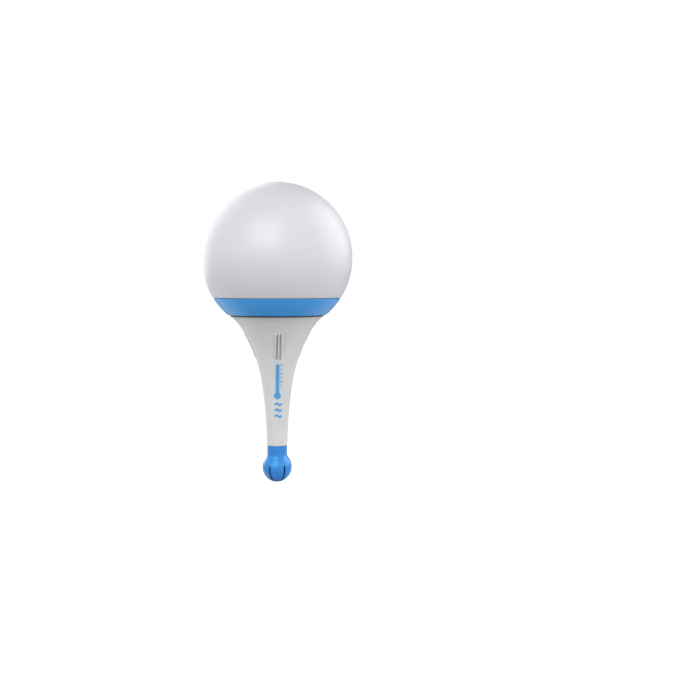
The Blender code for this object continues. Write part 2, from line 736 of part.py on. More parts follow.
def holder_holes():
    """Through the floor for the leads and screws, in the standoffs, and for the contacts' tabs."""
    low = FLOOR_Z - OVERLAP
    high = FLOOR_Z + FLOOR_THICKNESS + OVERLAP
    holes = [moved(rod("lead_hole", LEAD_HOLE_RADIUS, low, high), (0, LEAD_HOLE_Y, 0))]
    for spot in screw_places():
        holes.append(moved(rod("screw_hole", SCREW_SHANK + GAP, low, high), spot))
    pilot = BOARD_SCREW_SHANK + GAP
    for x, z in BOARD_SCREWS:
        hole = rod("board_pilot", pilot, TRAY_BACK_Y + GAP, BOARD_NEAR_Y + OVERLAP)
        holes.append(moved(hole, (x, 0, z), ALONG_Y))
    across = TAB_HALF_WIDTH + TAB_SLOT_CLEARANCE
    for x in (-CELL_X, CELL_X):
        slot_low = (x - across, TAB_Y - TAB_SLOT_CLEARANCE, POCKET_TOP_Z - OVERLAP)
        slot_high = (x + across, TAB_Y + TAB_SLOT_CLEARANCE, TRAY_TOP_Z + OVERLAP)
        holes.append(block("tab_slot", slot_low, slot_high))
    return holes


def build_holder_screws(parent, steel):
    """Pan-head screws hold the floor down on the stem's bosses."""
    seat = FLOOR_Z + FLOOR_THICKNESS + GAP
    outline = [
        (0, seat - SCREW_LENGTH),
        (SCREW_POINT, seat - SCREW_LENGTH),
        (SCREW_SHANK, seat - SCREW_LENGTH + SCREW_TAPER),
        (SCREW_SHANK, seat),
        (SCREW_HEAD, seat),
        (SCREW_HEAD, seat + SCREW_HEAD_HEIGHT - SCREW_EDGE),
        (SCREW_HEAD - SCREW_EDGE, seat + SCREW_HEAD_HEIGHT),
        (0, seat + SCREW_HEAD_HEIGHT),
    ]
    mesh = turned("holder_screw", outline, FINE)
    for k, spot in enumerate(screw_places(), 1):
        place(f"holder_screw_{k}", mesh, steel, parent, spot)


def build_cells(parent, material):
    """Two AAA cells, head to tail, each on its own origin."""
    half = CELL_LENGTH / 2
    shoulder = half - CELL_NUB
    outline = [
        (0, -half),
        (CELL_RADIUS - CELL_EDGE, -half),
        (CELL_RADIUS, -half + CELL_EDGE),
        (CELL_RADIUS, shoulder - CELL_EDGE),
        (CELL_RADIUS - CELL_EDGE, shoulder),
        (CELL_NUB_RADIUS, shoulder),
        (CELL_NUB_RADIUS, half),
        (0, half),
    ]
    mesh = turned("cell", outline, MEDIUM)
    place("battery_1", mesh, material, parent, (-CELL_X, CELL_Y, CELL_Z))
    place("battery_2", mesh, material, parent, (CELL_X, CELL_Y, CELL_Z), (0, math.pi, 0))


def contact_plate(name, x, low_z, half_width):
    high = (x + half_width, PLATE_BACK_Y, low_z + SHEET)
    return block(name, (x - half_width, PLATE_FRONT_Y, low_z), high)


def contact_bump(x, start_z, end_z):
    """The raised boss that a cell's nub presses on."""
    outline = [(0, start_z), (BUMP_RADIUS, start_z), (CELL_NUB_RADIUS, end_z), (0, end_z)]
    return moved(turned("bump", outline, FINE), (x, CELL_Y, 0))


def contact_spring(name, x, start_z, end_z, material, parent):
    tip_radius = SPRING_RADIUS * SPRING_TAPER
    coil = helix(SPRING_RADIUS, tip_radius, start_z, end_z, SPRING_TURNS, 12)
    wire(name, coil, SPRING_WIRE, material, parent, (x, CELL_Y, 0))


def build_contacts(parent, nickel):
    """Below, one bridge joins the cells. Above, each cell has its own plate and solder tab."""
    clear = GAP + SPRING_WIRE
    bridge_z = POCKET_END_Z + GAP
    bridge = contact_plate("bridge_contact", 0, bridge_z, BRIDGE_HALF_WIDTH)
    bridge = place("bridge_contact", bridge, nickel, parent)
    bump = contact_bump(CELL_X, bridge_z + SHEET / 2, CELL_END_Z - GAP)
    boolean(bridge, "UNION", "bridge_bump", [bump])
    spring_z = bridge_z + SHEET + clear
    contact_spring("bridge_spring", -CELL_X, spring_z, CELL_END_Z - clear, nickel, parent)

    plate_z = POCKET_TOP_Z - GAP - SHEET
    for name, x in (("positive_contact", -CELL_X), ("negative_contact", CELL_X)):
        plate = place(name, contact_plate(name, x, plate_z, PLATE_HALF_WIDTH), nickel, parent)
        tab_low = (x - TAB_HALF_WIDTH, TAB_Y - SHEET / 2, plate_z + SHEET / 2)
        tab_high = (x + TAB_HALF_WIDTH, TAB_Y + SHEET / 2, TRAY_TOP_Z + TAB_RISE)
        additions = [block("tab", tab_low, tab_high)]
        if x < 0:
            additions.append(contact_bump(x, plate_z + SHEET / 2, CELL_TOP_Z + GAP))
        boolean(plate, "UNION", f"{name}_shape", additions)
    contact_spring("negative_spring", CELL_X, plate_z - clear, CELL_TOP_Z + clear, nickel, parent)


def build_board(parent, board_material, steel):
    """The bare board, and the two screws that hold it on the tray's standoffs."""
    low = (-BOARD_HALF_WIDTH, BOARD_NEAR_Y, BOARD_END_Z)
    board = block("circuit_board", low, (BOARD_HALF_WIDTH, BOARD_FAR_Y, BOARD_TOP_Z))
    board = place("circuit_board", board, board_material, parent)
    near, far = BOARD_NEAR_Y - OVERLAP, BOARD_FAR_Y + OVERLAP
    holes = []
    for x, z in BOARD_SCREWS:
        hole = rod("board_hole", BOARD_SCREW_SHANK + GAP, near, far)
        holes.append(moved(hole, (x, 0, z), ALONG_Y))
    boolean(board, "DIFFERENCE", "board_holes", holes)

    outline = [
        (0, -BOARD_SCREW_LENGTH),
        (BOARD_SCREW_SHANK, -BOARD_SCREW_LENGTH),
        (BOARD_SCREW_SHANK, 0),
        (BOARD_SCREW_HEAD, 0),
        (BOARD_SCREW_HEAD, BOARD_SCREW_HEAD_HEIGHT - SCREW_EDGE),
        (BOARD_SCREW_HEAD - SCREW_EDGE, BOARD_SCREW_HEAD_HEIGHT),
        (0, BOARD_SCREW_HEAD_HEIGHT),
    ]
    screw = moved(turned("board_screw", outline, FINE), rotation=ALONG_Y)
    for k, (x, z) in enumerate(BOARD_SCREWS, 1):
        place(f"board_screw_{k}", screw, steel, parent, (x, PARTS_Y, z))


def crystal_can():
    """A flat steel can with round ends, lying on the board."""
    ring = []
    for side in (1, -1):
        for k in range(CRYSTAL_STEPS + 1):
            angle = math.pi * (k / CRYSTAL_STEPS - 0.5)
            x = CRYSTAL_HALF_LENGTH + CRYSTAL_RADIUS * math.cos(angle)
            ring.append((side * x, side * CRYSTAL_RADIUS * math.sin(angle)))
    bm = bmesh.new()
    face = bm.faces.new([bm.verts.new((x, 0, z)) for x, z in ring])
    lifted = bmesh.ops.extrude_face_region(bm, geom=[face])
    verts = [v for v in lifted["geom"] if isinstance(v, bmesh.types.BMVert)]
    bmesh.ops.translate(bm, vec=(0, CRYSTAL_DEPTH, 0), verts=verts)
    return to_mesh(bm, "crystal")


def build_capacitor(parent, material):
    outline = [
        (0, 0),
        (CAPACITOR_RADIUS, 0),
        (CAPACITOR_RADIUS, CAPACITOR_DEPTH - CAPACITOR_EDGE),
        (CAPACITOR_RADIUS - CAPACITOR_EDGE, CAPACITOR_DEPTH),
        (0, CAPACITOR_DEPTH),
    ]
    can = moved(turned("capacitor", outline, MEDIUM), rotation=ALONG_Y)
    x, z = CAPACITOR_AT
    place("capacitor", can, material, parent, (x, PARTS_Y, z))


def build_status_led(parent, material):
    outline = [
        (0, 0),
        (LED_RIM, 0),
        (LED_RIM, LED_RIM_DEPTH),
        (LED_RADIUS, LED_RIM_DEPTH),
        *sphere_arc(LED_RADIUS, LED_DOME_DEPTH, LED_DOME_DEPTH + LED_RADIUS, 4, LED_DOME_DEPTH),
    ]
    lamp = moved(turned("status_led", outline, FINE), rotation=ALONG_Y)
    x, z = LED_AT
    place("status_led", lamp, material, parent, (x, PARTS_Y, z))


def build_antenna(parent, material):
    """A coil of bare wire over the board's top edge, on a short straight foot."""
    start_z = BOARD_TOP_Z + ANTENNA_FOOT
    end_z = start_z + ANTENNA_LENGTH
    coil = helix(ANTENNA_RADIUS, ANTENNA_RADIUS, start_z, end_z, ANTENNA_TURNS, 10)
    foot = [Vector((ANTENNA_RADIUS, 0, z)) for z in (BOARD_TOP_Z + GAP, start_z - OVERLAP)]
    wire("antenna", foot + coil, ANTENNA_WIRE, material, parent, (ANTENNA_X, BOARD_Y, 0))


def build_selector(axis, parent, steel, plastic):
    """A housing with a slot, and the knob that slides in it between three channels."""
    housing = board_block("channel_switch", (SELECTOR_X, SELECTOR_Z), SELECTOR_SIZE)
    housing = place("channel_switch", housing, steel, parent)
    front = PARTS_Y + SELECTOR_SIZE[1]
    width, depth, height = SELECTOR_SLOT
    low = (SELECTOR_X - width / 2, front - depth, SELECTOR_Z - height / 2)
    high = (SELECTOR_X + width / 2, front + OVERLAP, SELECTOR_Z + height / 2)
    boolean(housing, "DIFFERENCE", "selector_slot", [block("slot", low, high)])
    width, depth, height = SLIDER_SIZE
    low = (-width / 2, 0, -height / 2)
    knob = block("channel_slider", low, (width / 2, depth, height / 2), PLUG_EDGE)
    place("channel_slider", knob, plastic, axis, (SLIDER_TRAVEL / 2, SLIDER_DEPTH, 0))


def build_test_button(axis, parent, body_material, button_material):
    """A square switch with a round well, and the button that travels in it."""
    body = board_block("test_switch", (BUTTON_X, BUTTON_Z), BUTTON_BODY, CHIP_EDGE)
    body = place("test_switch", body, body_material, parent)
    floor = PARTS_Y + BUTTON_WELL_FLOOR
    front = PARTS_Y + BUTTON_BODY[1]
    well = rod("well", BUTTON_WELL_RADIUS, floor, front + OVERLAP, MEDIUM)
    boolean(body, "DIFFERENCE", "button_well", [moved(well, (BUTTON_X, 0, BUTTON_Z), ALONG_Y)])
    button = moved(rod("test_button", BUTTON_RADIUS, 0, BUTTON_LENGTH, MEDIUM), rotation=ALONG_Y)
    place("test_button", button, button_material, axis, (0, BUTTON_WELL_FLOOR + BUTTON_ROOM, 0))


def on_board(corner):
    """A corner whose y is measured from the parts' own level on the board."""
    return (corner[0], PARTS_Y + corner[1], corner[2])


def build_connector(parent, material):
    socket = block("lead_socket", on_board(SOCKET_LOW), on_board(SOCKET_HIGH))
    socket = place("lead_socket", socket, material, parent)
    mouth = block("mouth", on_board(MOUTH_LOW), on_board(MOUTH_HIGH))
    boolean(socket, "DIFFERENCE", "socket_mouth", [mouth])
    plug = block("lead_plug", on_board(PLUG_LOW), on_board(PLUG_HIGH), PLUG_EDGE)
    place("lead_plug", plug, material, parent)


def build_wires(parent, lead, red, black):
    """Two leads run down to the sensor, and two wires join the cells' tabs to the board."""
    for k, side in enumerate((-1, 1), 1):
        route = smooth_route([(side * x, y, z) for x, y, z in LEAD_ROUTE])
        wire(f"sensor_lead_{k}", route, LEAD_RADIUS, lead, parent)
    for name, side, material in (("red_wire", -1, red), ("black_wire", 1, black)):
        route = smooth_route([(side * x, y, z) for x, y, z in CELL_WIRE_ROUTE])
        wire(name, route, CELL_WIRE_RADIUS, material, parent)


def build():
    clear_scene()
    white = finish("globe_white", WHITE, 0.35)
    grey = finish("stem_grey", GREY, 0.4)
    blue = finish("band_blue", BLUE, 0.35)
    tip_blue = finish("tip_blue", TIP_BLUE, 0.18)
    rubber = finish("seal_rubber", DARK, 0.7)
    steel = finish("steel", STEEL, 0.3, 1.0)
    nickel = finish("nickel", NICKEL, 0.25, 1.0)
    ivory = finish("holder_ivory", IVORY, 0.5)
    green = finish("board_green", BOARD_GREEN, 0.35)
    black = finish("chip_black", DARK, 0.5)
    copper = finish("copper", COPPER, 0.3, 1.0)
    jacket = finish("cell_jacket", JACKET, 0.3)
    red = finish("red", RED, 0.3)

    centre = add_object("globe_centre", None, location=(0, 0, GLOBE_CENTRE_HEIGHT))
    cap = add_object("cap_axis", None, centre)
    selector = add_object("selector_axis", None, centre, (SELECTOR_X, PARTS_Y, SELECTOR_Z))
    button = add_object("button_axis", None, centre, (BUTTON_X, PARTS_Y, BUTTON_Z))

    build_globe(cap, white)
    build_band(cap, blue)
    build_washer(cap, rubber)
    build_stem(centre, grey)
    build_tip(centre, tip_blue)
    build_cup(centre, steel)
    build_plug_and_bead(centre, rubber, black)
    build_ballast(centre, steel)
    build_holder(centre, ivory)
    build_holder_screws(centre, steel)
    build_contacts(centre, nickel)
    build_cells(centre, jacket)
    build_board(centre, green, steel)
    for name, (spot, size) in CHIPS.items():
        place(name, board_block(name, spot, size, CHIP_EDGE), black, centre)
    place("crystal", crystal_can(), steel, centre, (CRYSTAL_AT[0], PARTS_Y, CRYSTAL_AT[1]))
    build_capacitor(centre, jacket)
    build_status_led(centre, red)
    build_antenna(centre, copper)
    build_selector(selector, centre, steel, black)
    build_test_button(button, centre, black, ivory)
    build_connector(centre, ivory)
    build_wires(centre, grey, red, black)


build()
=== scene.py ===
"""Looks of the floating pool thermometer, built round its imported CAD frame.

Shapes are in millimetres from the globe's centre, +Z up, with the front at -Y. piece() turns
them into the frame's metres. The board's parts stand on the board's far side, towards +Y.
"""

from math import acos, asin, ceil, cos, exp, hypot, pi, radians, sin, sqrt, tan, tau

import bmesh
import bpy
from mathutils import Matrix, Vector


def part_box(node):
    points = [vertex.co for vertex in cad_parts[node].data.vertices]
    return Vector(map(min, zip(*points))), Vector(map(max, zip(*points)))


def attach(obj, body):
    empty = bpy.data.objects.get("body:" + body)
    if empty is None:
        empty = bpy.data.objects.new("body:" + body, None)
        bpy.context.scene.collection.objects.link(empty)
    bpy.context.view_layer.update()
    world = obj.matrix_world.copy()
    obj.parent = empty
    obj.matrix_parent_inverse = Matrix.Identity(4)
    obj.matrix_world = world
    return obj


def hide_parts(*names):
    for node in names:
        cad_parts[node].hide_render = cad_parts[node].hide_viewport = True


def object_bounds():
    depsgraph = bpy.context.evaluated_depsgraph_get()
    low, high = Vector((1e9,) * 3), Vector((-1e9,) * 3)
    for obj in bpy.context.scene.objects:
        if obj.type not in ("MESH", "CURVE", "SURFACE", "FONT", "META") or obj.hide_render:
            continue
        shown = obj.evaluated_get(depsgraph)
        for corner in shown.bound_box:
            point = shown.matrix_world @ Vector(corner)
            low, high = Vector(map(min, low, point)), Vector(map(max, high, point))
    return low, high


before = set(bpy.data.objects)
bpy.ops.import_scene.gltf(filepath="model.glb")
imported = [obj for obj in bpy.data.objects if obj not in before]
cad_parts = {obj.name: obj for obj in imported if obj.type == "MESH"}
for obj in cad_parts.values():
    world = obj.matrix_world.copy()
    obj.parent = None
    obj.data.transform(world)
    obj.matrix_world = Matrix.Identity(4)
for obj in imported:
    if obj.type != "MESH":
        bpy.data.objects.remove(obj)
cad_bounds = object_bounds()

MM = 0.001
SPHERE = 47.5  # the globe and the band share one outer sphere
CENTRE = Vector((0, 0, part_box("globe")[1].z - SPHERE * MM))
TO_FRAME = Matrix.Translation(CENTRE) @ Matrix.Scale(MM, 4)
ALONG_Y = Matrix.Rotation(radians(-90), 4, "X")  # turns a shape's +Z to +Y
UPRIGHT = Matrix(((1, 0, 0, 0), (0, 0, 1, 0), (0, 1, 0, 0), (0, 0, 0, 1)))  # (a, b, c) to (a, c, b)

# Globe, band and thread
GLOBE_WALL = 2.0
SEAM_Z = -25.2
SEAM_GAP = 0.35
SKIRT = 45.2
SKIRT_WALL = 1.8
SKIRT_END_Z = -31.0
BAND_BOTTOM_Z = -36.0
SLEEVE = 26.2
SLEEVE_WALL = 2.2
SPIGOT = 24.0
SPIGOT_TOP_Z = -26.0
THREAD_LEAD = 24.0
LUG_SWEEP = radians(62)
LUG_ROOT_HEIGHT = 1.8
LUG_TIP_HEIGHT = 1.2
MALE_LUG_Z = -31.8
WASHER_ROOF_Z = -35.2

# Stem
FLANGE_Z = -36.8
STEM_END_Z = -118.0
TUBE = 5.6  # the radius that the flare and the lip run out to
FLARE = 23.0
FLARE_LENGTH = 24.3
LIP = 1.2
WALL = 2.0
HOLLOW_END_Z = -115.5
NOSE = 4.7  # the part of the stem that goes up into the tip
NOSE_BORE = 3.7
NOSE_TOP_Z = -116.0
NOSE_END_Z = -125.5
RIB_TOP_Z = -47.6
RIB_END_Z = -63.2
RIB_FADE = 0.6  # how far the ribs and grooves take to run out at their ends
RIB_STEPS = (0, 0.2, 0.36, 0.46, 0.53, 0.57, 0.6)
RIB_PROFILE = (  # across half a group: the middle rib, a groove, an outer rib and its soft foot
    (0, 0.50), (0.26, 0.48), (0.38, 0.40), (0.46, 0.22), (0.49, -1.05), (0.60, -1.20),
    (1.03, -1.22), (1.46, -1.20), (1.57, -1.05), (1.60, 0.22), (1.67, 0.40), (1.79, 0.48),
    (2.02, 0.50), (2.24, 0.42), (2.42, 0.22), (2.60, -0.08), (2.82, -0.24), (3.10, -0.24),
    (3.45, -0.09), (3.8, 0.0),
)
BOSS_CIRCLE = 16.5
BOSS_ANGLES = (60, 120, 240, 300)
SCREW_HOLE = 1.45

# Tip
NECK = 6.2
BULB = 9.2
BULB_INNER = 7.9
BULB_Z = -131.95
BULB_JOIN = 5.5
TIP_BORE = 5.0
TIP_BORE_END_Z = -126.5
TIP_FLAT_Z = -140.9
TIP_FLOOR_Z = -139.7
SLOT_HALF = 0.45
SLOT_TOP_Z = -129.8
SLOT_TURN = radians(-3)  # the pressed-in bulb stands a little askew of the ribs
SLOT_END = 3.2  # the slots stop this far from the axis
SLOT_COUNT = 6

# Inside
CELL_X = 5.7  # the cells stand this far left and right of the middle
CELL_Y = -5.5
LEADS_Y = 9.3  # where the sensor's leads pass through the floor
LEAD_PITCH = 1.27
BOARD_SCREWS = ((-9.0, 12.5), (9.0, -31.0))  # (x, z)


# ---------------------------------------------------------------- shapes


def cad(node):
    """A CAD node's lowest and highest corners in millimetres from the globe's centre."""
    low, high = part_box(node)
    return (low - CENTRE) / MM, (high - CENTRE) / MM


def mesh_of(bm):
    bmesh.ops.remove_doubles(bm, verts=bm.verts, dist=1e-4)
    bmesh.ops.recalc_face_normals(bm, faces=bm.faces)
    made = bpy.data.meshes.new("shape")
    bm.to_mesh(made)
    bm.free()
    return made


def mesh_from(vertices, faces):
    made = bpy.data.meshes.new("shape")
    made.from_pydata([tuple(v) for v in vertices], [], faces)
    bm = bmesh.new()
    bm.from_mesh(made)
    return mesh_of(bm)


def moved(mesh, x=0.0, y=0.0, z=0.0, turn=None):
    mesh.transform(Matrix.Translation((x, y, z)) @ (turn or Matrix.Identity(4)))
    return mesh


def copied(mesh, x=0.0, y=0.0, z=0.0, turn=None):
    return moved(mesh.copy(), x, y, z, turn)


def stood(mesh, node):
    """Turns a shape's +Z to +Y, and stands it on the foot of a CAD node's box."""
    low, high = cad(node)
    return moved(mesh, (low.x + high.x) / 2, low.y, (low.z + high.z) / 2, ALONG_Y)


def softened(outline, steps=4):
    """Rounds those corners of a closed outline that carry a third number, their radius."""
    points = []
    for k, (a, b, *corner) in enumerate(outline):
        here = Vector((a, b))
        if not corner:
            points.append((a, b))
            continue
        before = (Vector(outline[k - 1][:2]) - here).normalized()
        after = (Vector(outline[(k + 1) % len(outline)][:2]) - here).normalized()
        half = before.angle(after) / 2
        reach = corner[0] / tan(half)
        centre = here + (before + after).normalized() * corner[0] / sin(half)
        start, end = here + before * reach - centre, here + after * reach - centre
        for step in range(steps + 1):
            share = step / steps
            arm = (start * (1 - share) + end * share).normalized() * corner[0]
            points.append(tuple(centre + arm))
    return points


def arc(radius, start, end, steps, centre=0.0):
    """(radius, z) points along a sphere's outline between two heights, even in angle."""
    first = asin(max(-1.0, min(1.0, (start - centre) / radius)))
    last = asin(max(-1.0, min(1.0, (end - centre) / radius)))
    angles = [first + (last - first) * k / steps for k in range(steps + 1)]
    return [(max(0.0, radius * cos(a)), centre + radius * sin(a)) for a in angles]


def slice_radius(radius, height):
    return sqrt(radius * radius - height * height)


def skin(rings, closed=False, skipped=()):
    """Faces between rings of equal length. skipped holds the columns that stay open."""
    count = len(rings[0])
    faces = []
    for ring in range(len(rings) - (0 if closed else 1)):
        a, b = ring * count, (ring + 1) % len(rings) * count
        for k in range(count):
            n = (k + 1) % count
            if k not in skipped:
                faces.append((a + k, b + k, b + n, a + n))
    return [v for ring in rings for v in ring], faces


def capped(rings):
    """A bar with a ring for each of its sections, closed at both ends."""
    vertices, faces = skin(rings)
    count, size = len(vertices), len(rings[0])
    return mesh_from(vertices, [*faces, tuple(range(size)), tuple(range(count - size, count))])


def turned(outline, segments=96):
    """Spins an outline about Z. One that starts and ends on the axis is solid, others are rings."""
    points = softened(outline)
    closed = points[0][0] > 1e-6 or points[-1][0] > 1e-6
    angles = [tau * k / segments for k in range(segments)]
    rings = [[(r * cos(a), r * sin(a), z) for a in angles] for r, z in points]
    return mesh_from(*skin(rings, closed))


def rod(radius, low, high, segments=24):
    return turned([(0, low), (radius, low), (radius, high), (0, high)], segments)


def soft_box(low, high, edge=0.2, steps=2):
    bm = bmesh.new()
    bmesh.ops.create_cube(bm, size=1.0)
    low, high = Vector(low), Vector(high)
    bmesh.ops.scale(bm, vec=high - low, verts=bm.verts)
    bmesh.ops.translate(bm, vec=(low + high) / 2, verts=bm.verts)
    if edge:
        bmesh.ops.bevel(
            bm, geom=bm.edges[:], offset=edge, segments=steps, profile=0.5, affect="EDGES"
        )
    return mesh_of(bm)


def block(x, z, half_x, half_z, start, end, edge=0.0, steps=2):
    """A soft box round a point of the board, from start to end along Y."""
    return soft_box((x - half_x, start, z - half_z), (x + half_x, end, z + half_z), edge, steps)


def plate(outline, start, end, edge=0.12):
    """A flat outline (a, b[, corner radius]) with thickness along c, its rims rounded."""
    bm = bmesh.new()
    face = bm.faces.new([bm.verts.new((a, b, start)) for a, b in softened(outline)])
    lifted = bmesh.ops.extrude_face_region(bm, geom=[face])["geom"]
    top = [v for v in lifted if isinstance(v, bmesh.types.BMVert)]
    bmesh.ops.translate(bm, vec=(0, 0, end - start), verts=top)
    if edge:
        rims = [e for e in bm.edges if abs(e.verts[0].co.z - e.verts[1].co.z) < 1e-6]
        bmesh.ops.bevel(bm, geom=rims, offset=edge, segments=2, profile=0.5, affect="EDGES")
    return mesh_of(bm)


def rectangle(low, high, corner):
    (a, b), (c, d) = low, high
    return [(a, b, corner), (c, b, corner), (c, d, corner), (a, d, corner)]


def tube(path, radius, sides=12):
    """A round bar along a path, with domed ends."""
    path = [Vector(p) for p in path]
    first = (path[0] - path[1]).normalized() * radius * 0.6
    last = (path[-1] - path[-2]).normalized() * radius * 0.6
    dome = ((0.35, 0.94), (0.75, 0.66), (0.97, 0.25))
    stations = [(path[0] + first * a, radius * b) for a, b in reversed(dome)]
    stations += [(p, radius) for p in path]
    stations += [(path[-1] + last * a, radius * b) for a, b in dome]
    angles = [tau * k / sides for k in range(sides)]
    rings = []
    side = None
    for k, (point, thick) in enumerate(stations):
        ahead = stations[min(k + 1, len(stations) - 1)][0]
        along = (ahead - stations[max(k - 1, 0)][0]).normalized()
        side = side or along.orthogonal().normalized()
        side = (side - along * side.dot(along)).normalized()
        across = along.cross(side)
        rings.append([point + (side * cos(a) + across * sin(a)) * thick for a in angles])
    return capped(rings)


def smooth_route(points, steps=10):
    """A Catmull-Rom curve through points."""
    knots = [Vector(p) for p in points]
    knots = [knots[0] * 2 - knots[1], *knots, knots[-1] * 2 - knots[-2]]
    route = []
    for a, b, c, d in zip(knots, knots[1:], knots[2:], knots[3:]):
        for k in range(steps):
            t = k / steps
            square = a * 2 - b * 5 + c * 4 - d
            cube = b * 3 - a - c * 3 + d
            route.append((b * 2 + (c - a) * t + square * t**2 + cube * t**3) / 2)
    return [*route, knots[-2]]


def coil(start_radius, end_radius, start_z, end_z, turns, flat=0.0, steps=28):
    """Points along a coil about Z. flat is the share of it that lies flat at each end."""
    count = int(turns * steps)
    points = []
    for k in range(count + 1):
        share = k / count
        rise = max(0.0, min(1.0, (share - flat) / (1 - 2 * flat)))
        radius = start_radius + (end_radius - start_radius) * share
        angle = tau * turns * share
        height = start_z + (end_z - start_z) * rise
        points.append((radius * cos(angle), radius * sin(angle), height))
    return points


def stroke(path, width, surface, proud=0.05, cap=6):
    """A thin flat line with round ends, laid on a surface: surface(u, v, lift) is a point."""
    path = [Vector(p) for p in path]
    half = width / 2
    if len(path) == 1:
        path = [path[0] + Vector((0, 1e-3)), path[0] - Vector((0, 1e-3))]
    first, last = (path[0] - path[1]).normalized(), (path[-1] - path[-2]).normalized()
    turns = [pi / 2 * k / cap for k in range(1, cap)]
    stations = [(path[0] + first * half * sin(t), half * cos(t)) for t in turns]
    stations = stations[::-1] + [(p, half) for p in path]
    stations += [(path[-1] + last * half * sin(t), half * cos(t)) for t in turns]
    columns = 2 * ceil(width / 0.7)
    rows = []
    for k, (point, reach) in enumerate(stations):
        ahead = stations[min(k + 1, len(stations) - 1)][0]
        along = (ahead - stations[max(k - 1, 0)][0]).normalized()
        side = Vector((-along.y, along.x))
        line = [point + side * reach * (2 * j / columns - 1) for j in range(columns + 1)]
        top = [surface(p.x, p.y, proud) for p in line]
        under = [surface(p.x, p.y, -0.03) for p in reversed(line)]
        rows.append(top + under)
    vertices, faces = skin(rows)
    size = len(rows[0])
    for start in (0, len(vertices) - size):
        for j in range(columns):
            a, b = start + j, start + size - 1 - j
            faces.append((a, a + 1, b - 1, b))
    return mesh_from(vertices, faces)


def linked(name, data):
    made = bpy.data.objects.new(name, data)
    bpy.context.scene.collection.objects.link(made)
    return made


def cut(target, *tools):
    """Cuts closed meshes, which mustn't overlap, from the target mesh, and returns the result."""
    bm = bmesh.new()
    for tool in tools:
        bm.from_mesh(tool)
    joined = bpy.data.meshes.new("tools")
    bm.to_mesh(joined)
    bm.free()
    pair = [linked("work", mesh) for mesh in (target, joined)]
    modifier = pair[0].modifiers.new("cut", "BOOLEAN")
    modifier.object = pair[1]
    modifier.operation = "DIFFERENCE"
    modifier.solver = "EXACT"
    bpy.context.view_layer.update()
    evaluated = pair[0].evaluated_get(bpy.context.evaluated_depsgraph_get())
    result = bpy.data.meshes.new_from_object(evaluated)
    for made in pair:
        bpy.data.objects.remove(made)
    return result


def listed(value):
    return value if isinstance(value, (list, tuple)) else [value]


def piece(name, meshes, look, node=None, body="stem", sharp=35):
    """One visible piece: meshes joined, put in the frame, and made to ride on a body."""
    bm = bmesh.new()
    for mesh in listed(meshes):
        bm.from_mesh(mesh)
    bmesh.ops.recalc_face_normals(bm, faces=bm.faces)
    bmesh.ops.transform(bm, matrix=TO_FRAME, verts=bm.verts)
    data = bpy.data.meshes.new(name)
    bm.to_mesh(data)
    bm.free()
    data.materials.clear()
    for one in listed(look):
        data.materials.append(LOOKS[one])
    data.shade_smooth()
    data.set_sharp_from_angle(angle=radians(sharp))
    made = linked(name, data)
    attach(made, body)
    if node:
        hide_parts(node)
    return made


# ---------------------------------------------------------------- materials


class Look:
    """A Principled material under construction. Patterns use the object's own metres."""

    def __init__(self, name, roughness, metallic=0.0, **constants):
        self.material = bpy.data.materials.new(name)
        self.material.use_nodes = True
        self.tree = self.material.node_tree
        self.shader = self.tree.nodes["Principled BSDF"]
        self.shader.inputs["Roughness"].default_value = roughness
        self.shader.inputs["Metallic"].default_value = metallic
        for key, value in constants.items():
            self.shader.inputs[key.replace("_", " ")].default_value = value
        self.place = self.tree.nodes.new("ShaderNodeTexCoord").outputs["Object"]

    def link(self, a, b):
        self.tree.links.new(a, b)

    def noise(self, size_mm, detail=2.0, stretch=(1, 1, 1)):
        """Noise whose features are about that many millimetres, longer where stretch is small."""
        spread = self.tree.nodes.new("ShaderNodeMapping")
        spread.inputs["Scale"].default_value = stretch
        made = self.tree.nodes.new("ShaderNodeTexNoise")
        made.inputs["Scale"].default_value = 1000.0 / size_mm
        made.inputs["Detail"].default_value = detail
        self.link(self.place, spread.inputs["Vector"])
        self.link(spread.outputs["Vector"], made.inputs["Vector"])
        return made.outputs["Fac"]

    def spread(self, value, low, high, start=0.3, end=0.7):
        made = self.tree.nodes.new("ShaderNodeMapRange")
        ends = {"From Min": start, "From Max": end, "To Min": low, "To Max": high}
        for key, number in ends.items():
            made.inputs[key].default_value = number
        self.link(value, made.inputs["Value"])
        return made.outputs["Result"]

    def colour(self, value, *stops):
        """A colour ramp: each stop is (place, (r, g, b))."""
        ramp = self.tree.nodes.new("ShaderNodeValToRGB")
        elements = ramp.color_ramp.elements
        while len(elements) < len(stops):
            elements.new(0.5)
        for element, (place, rgb) in zip(elements, stops):
            element.position = place
            element.color = (*rgb, 1.0)
        self.link(value, ramp.inputs["Fac"])
        self.link(ramp.outputs["Color"], self.shader.inputs["Base Color"])
        return ramp

    def rough(self, value, low, high):
        self.link(self.spread(value, low, high), self.shader.inputs["Roughness"])

    def bump(self, value, depth_mm):
        made = self.tree.nodes.new("ShaderNodeBump")
        made.inputs["Distance"].default_value = depth_mm * MM
        self.link(value, made.inputs["Height"])
        self.link(made.outputs["Normal"], self.shader.inputs["Normal"])


def plastic(name, light, dark, rough, grain, depth, cloud, **constants):
    """Moulded plastic: a slow drift of colour, and a fine grain in its gloss and surface."""
    look = Look(name, rough[0], **constants)
    look.colour(look.noise(cloud, 3.0), (0.3, dark), (0.7, light))
    look.rough(look.noise(grain * 5, 3.0), *rough)
    look.bump(look.noise(grain), depth)
    return look.material


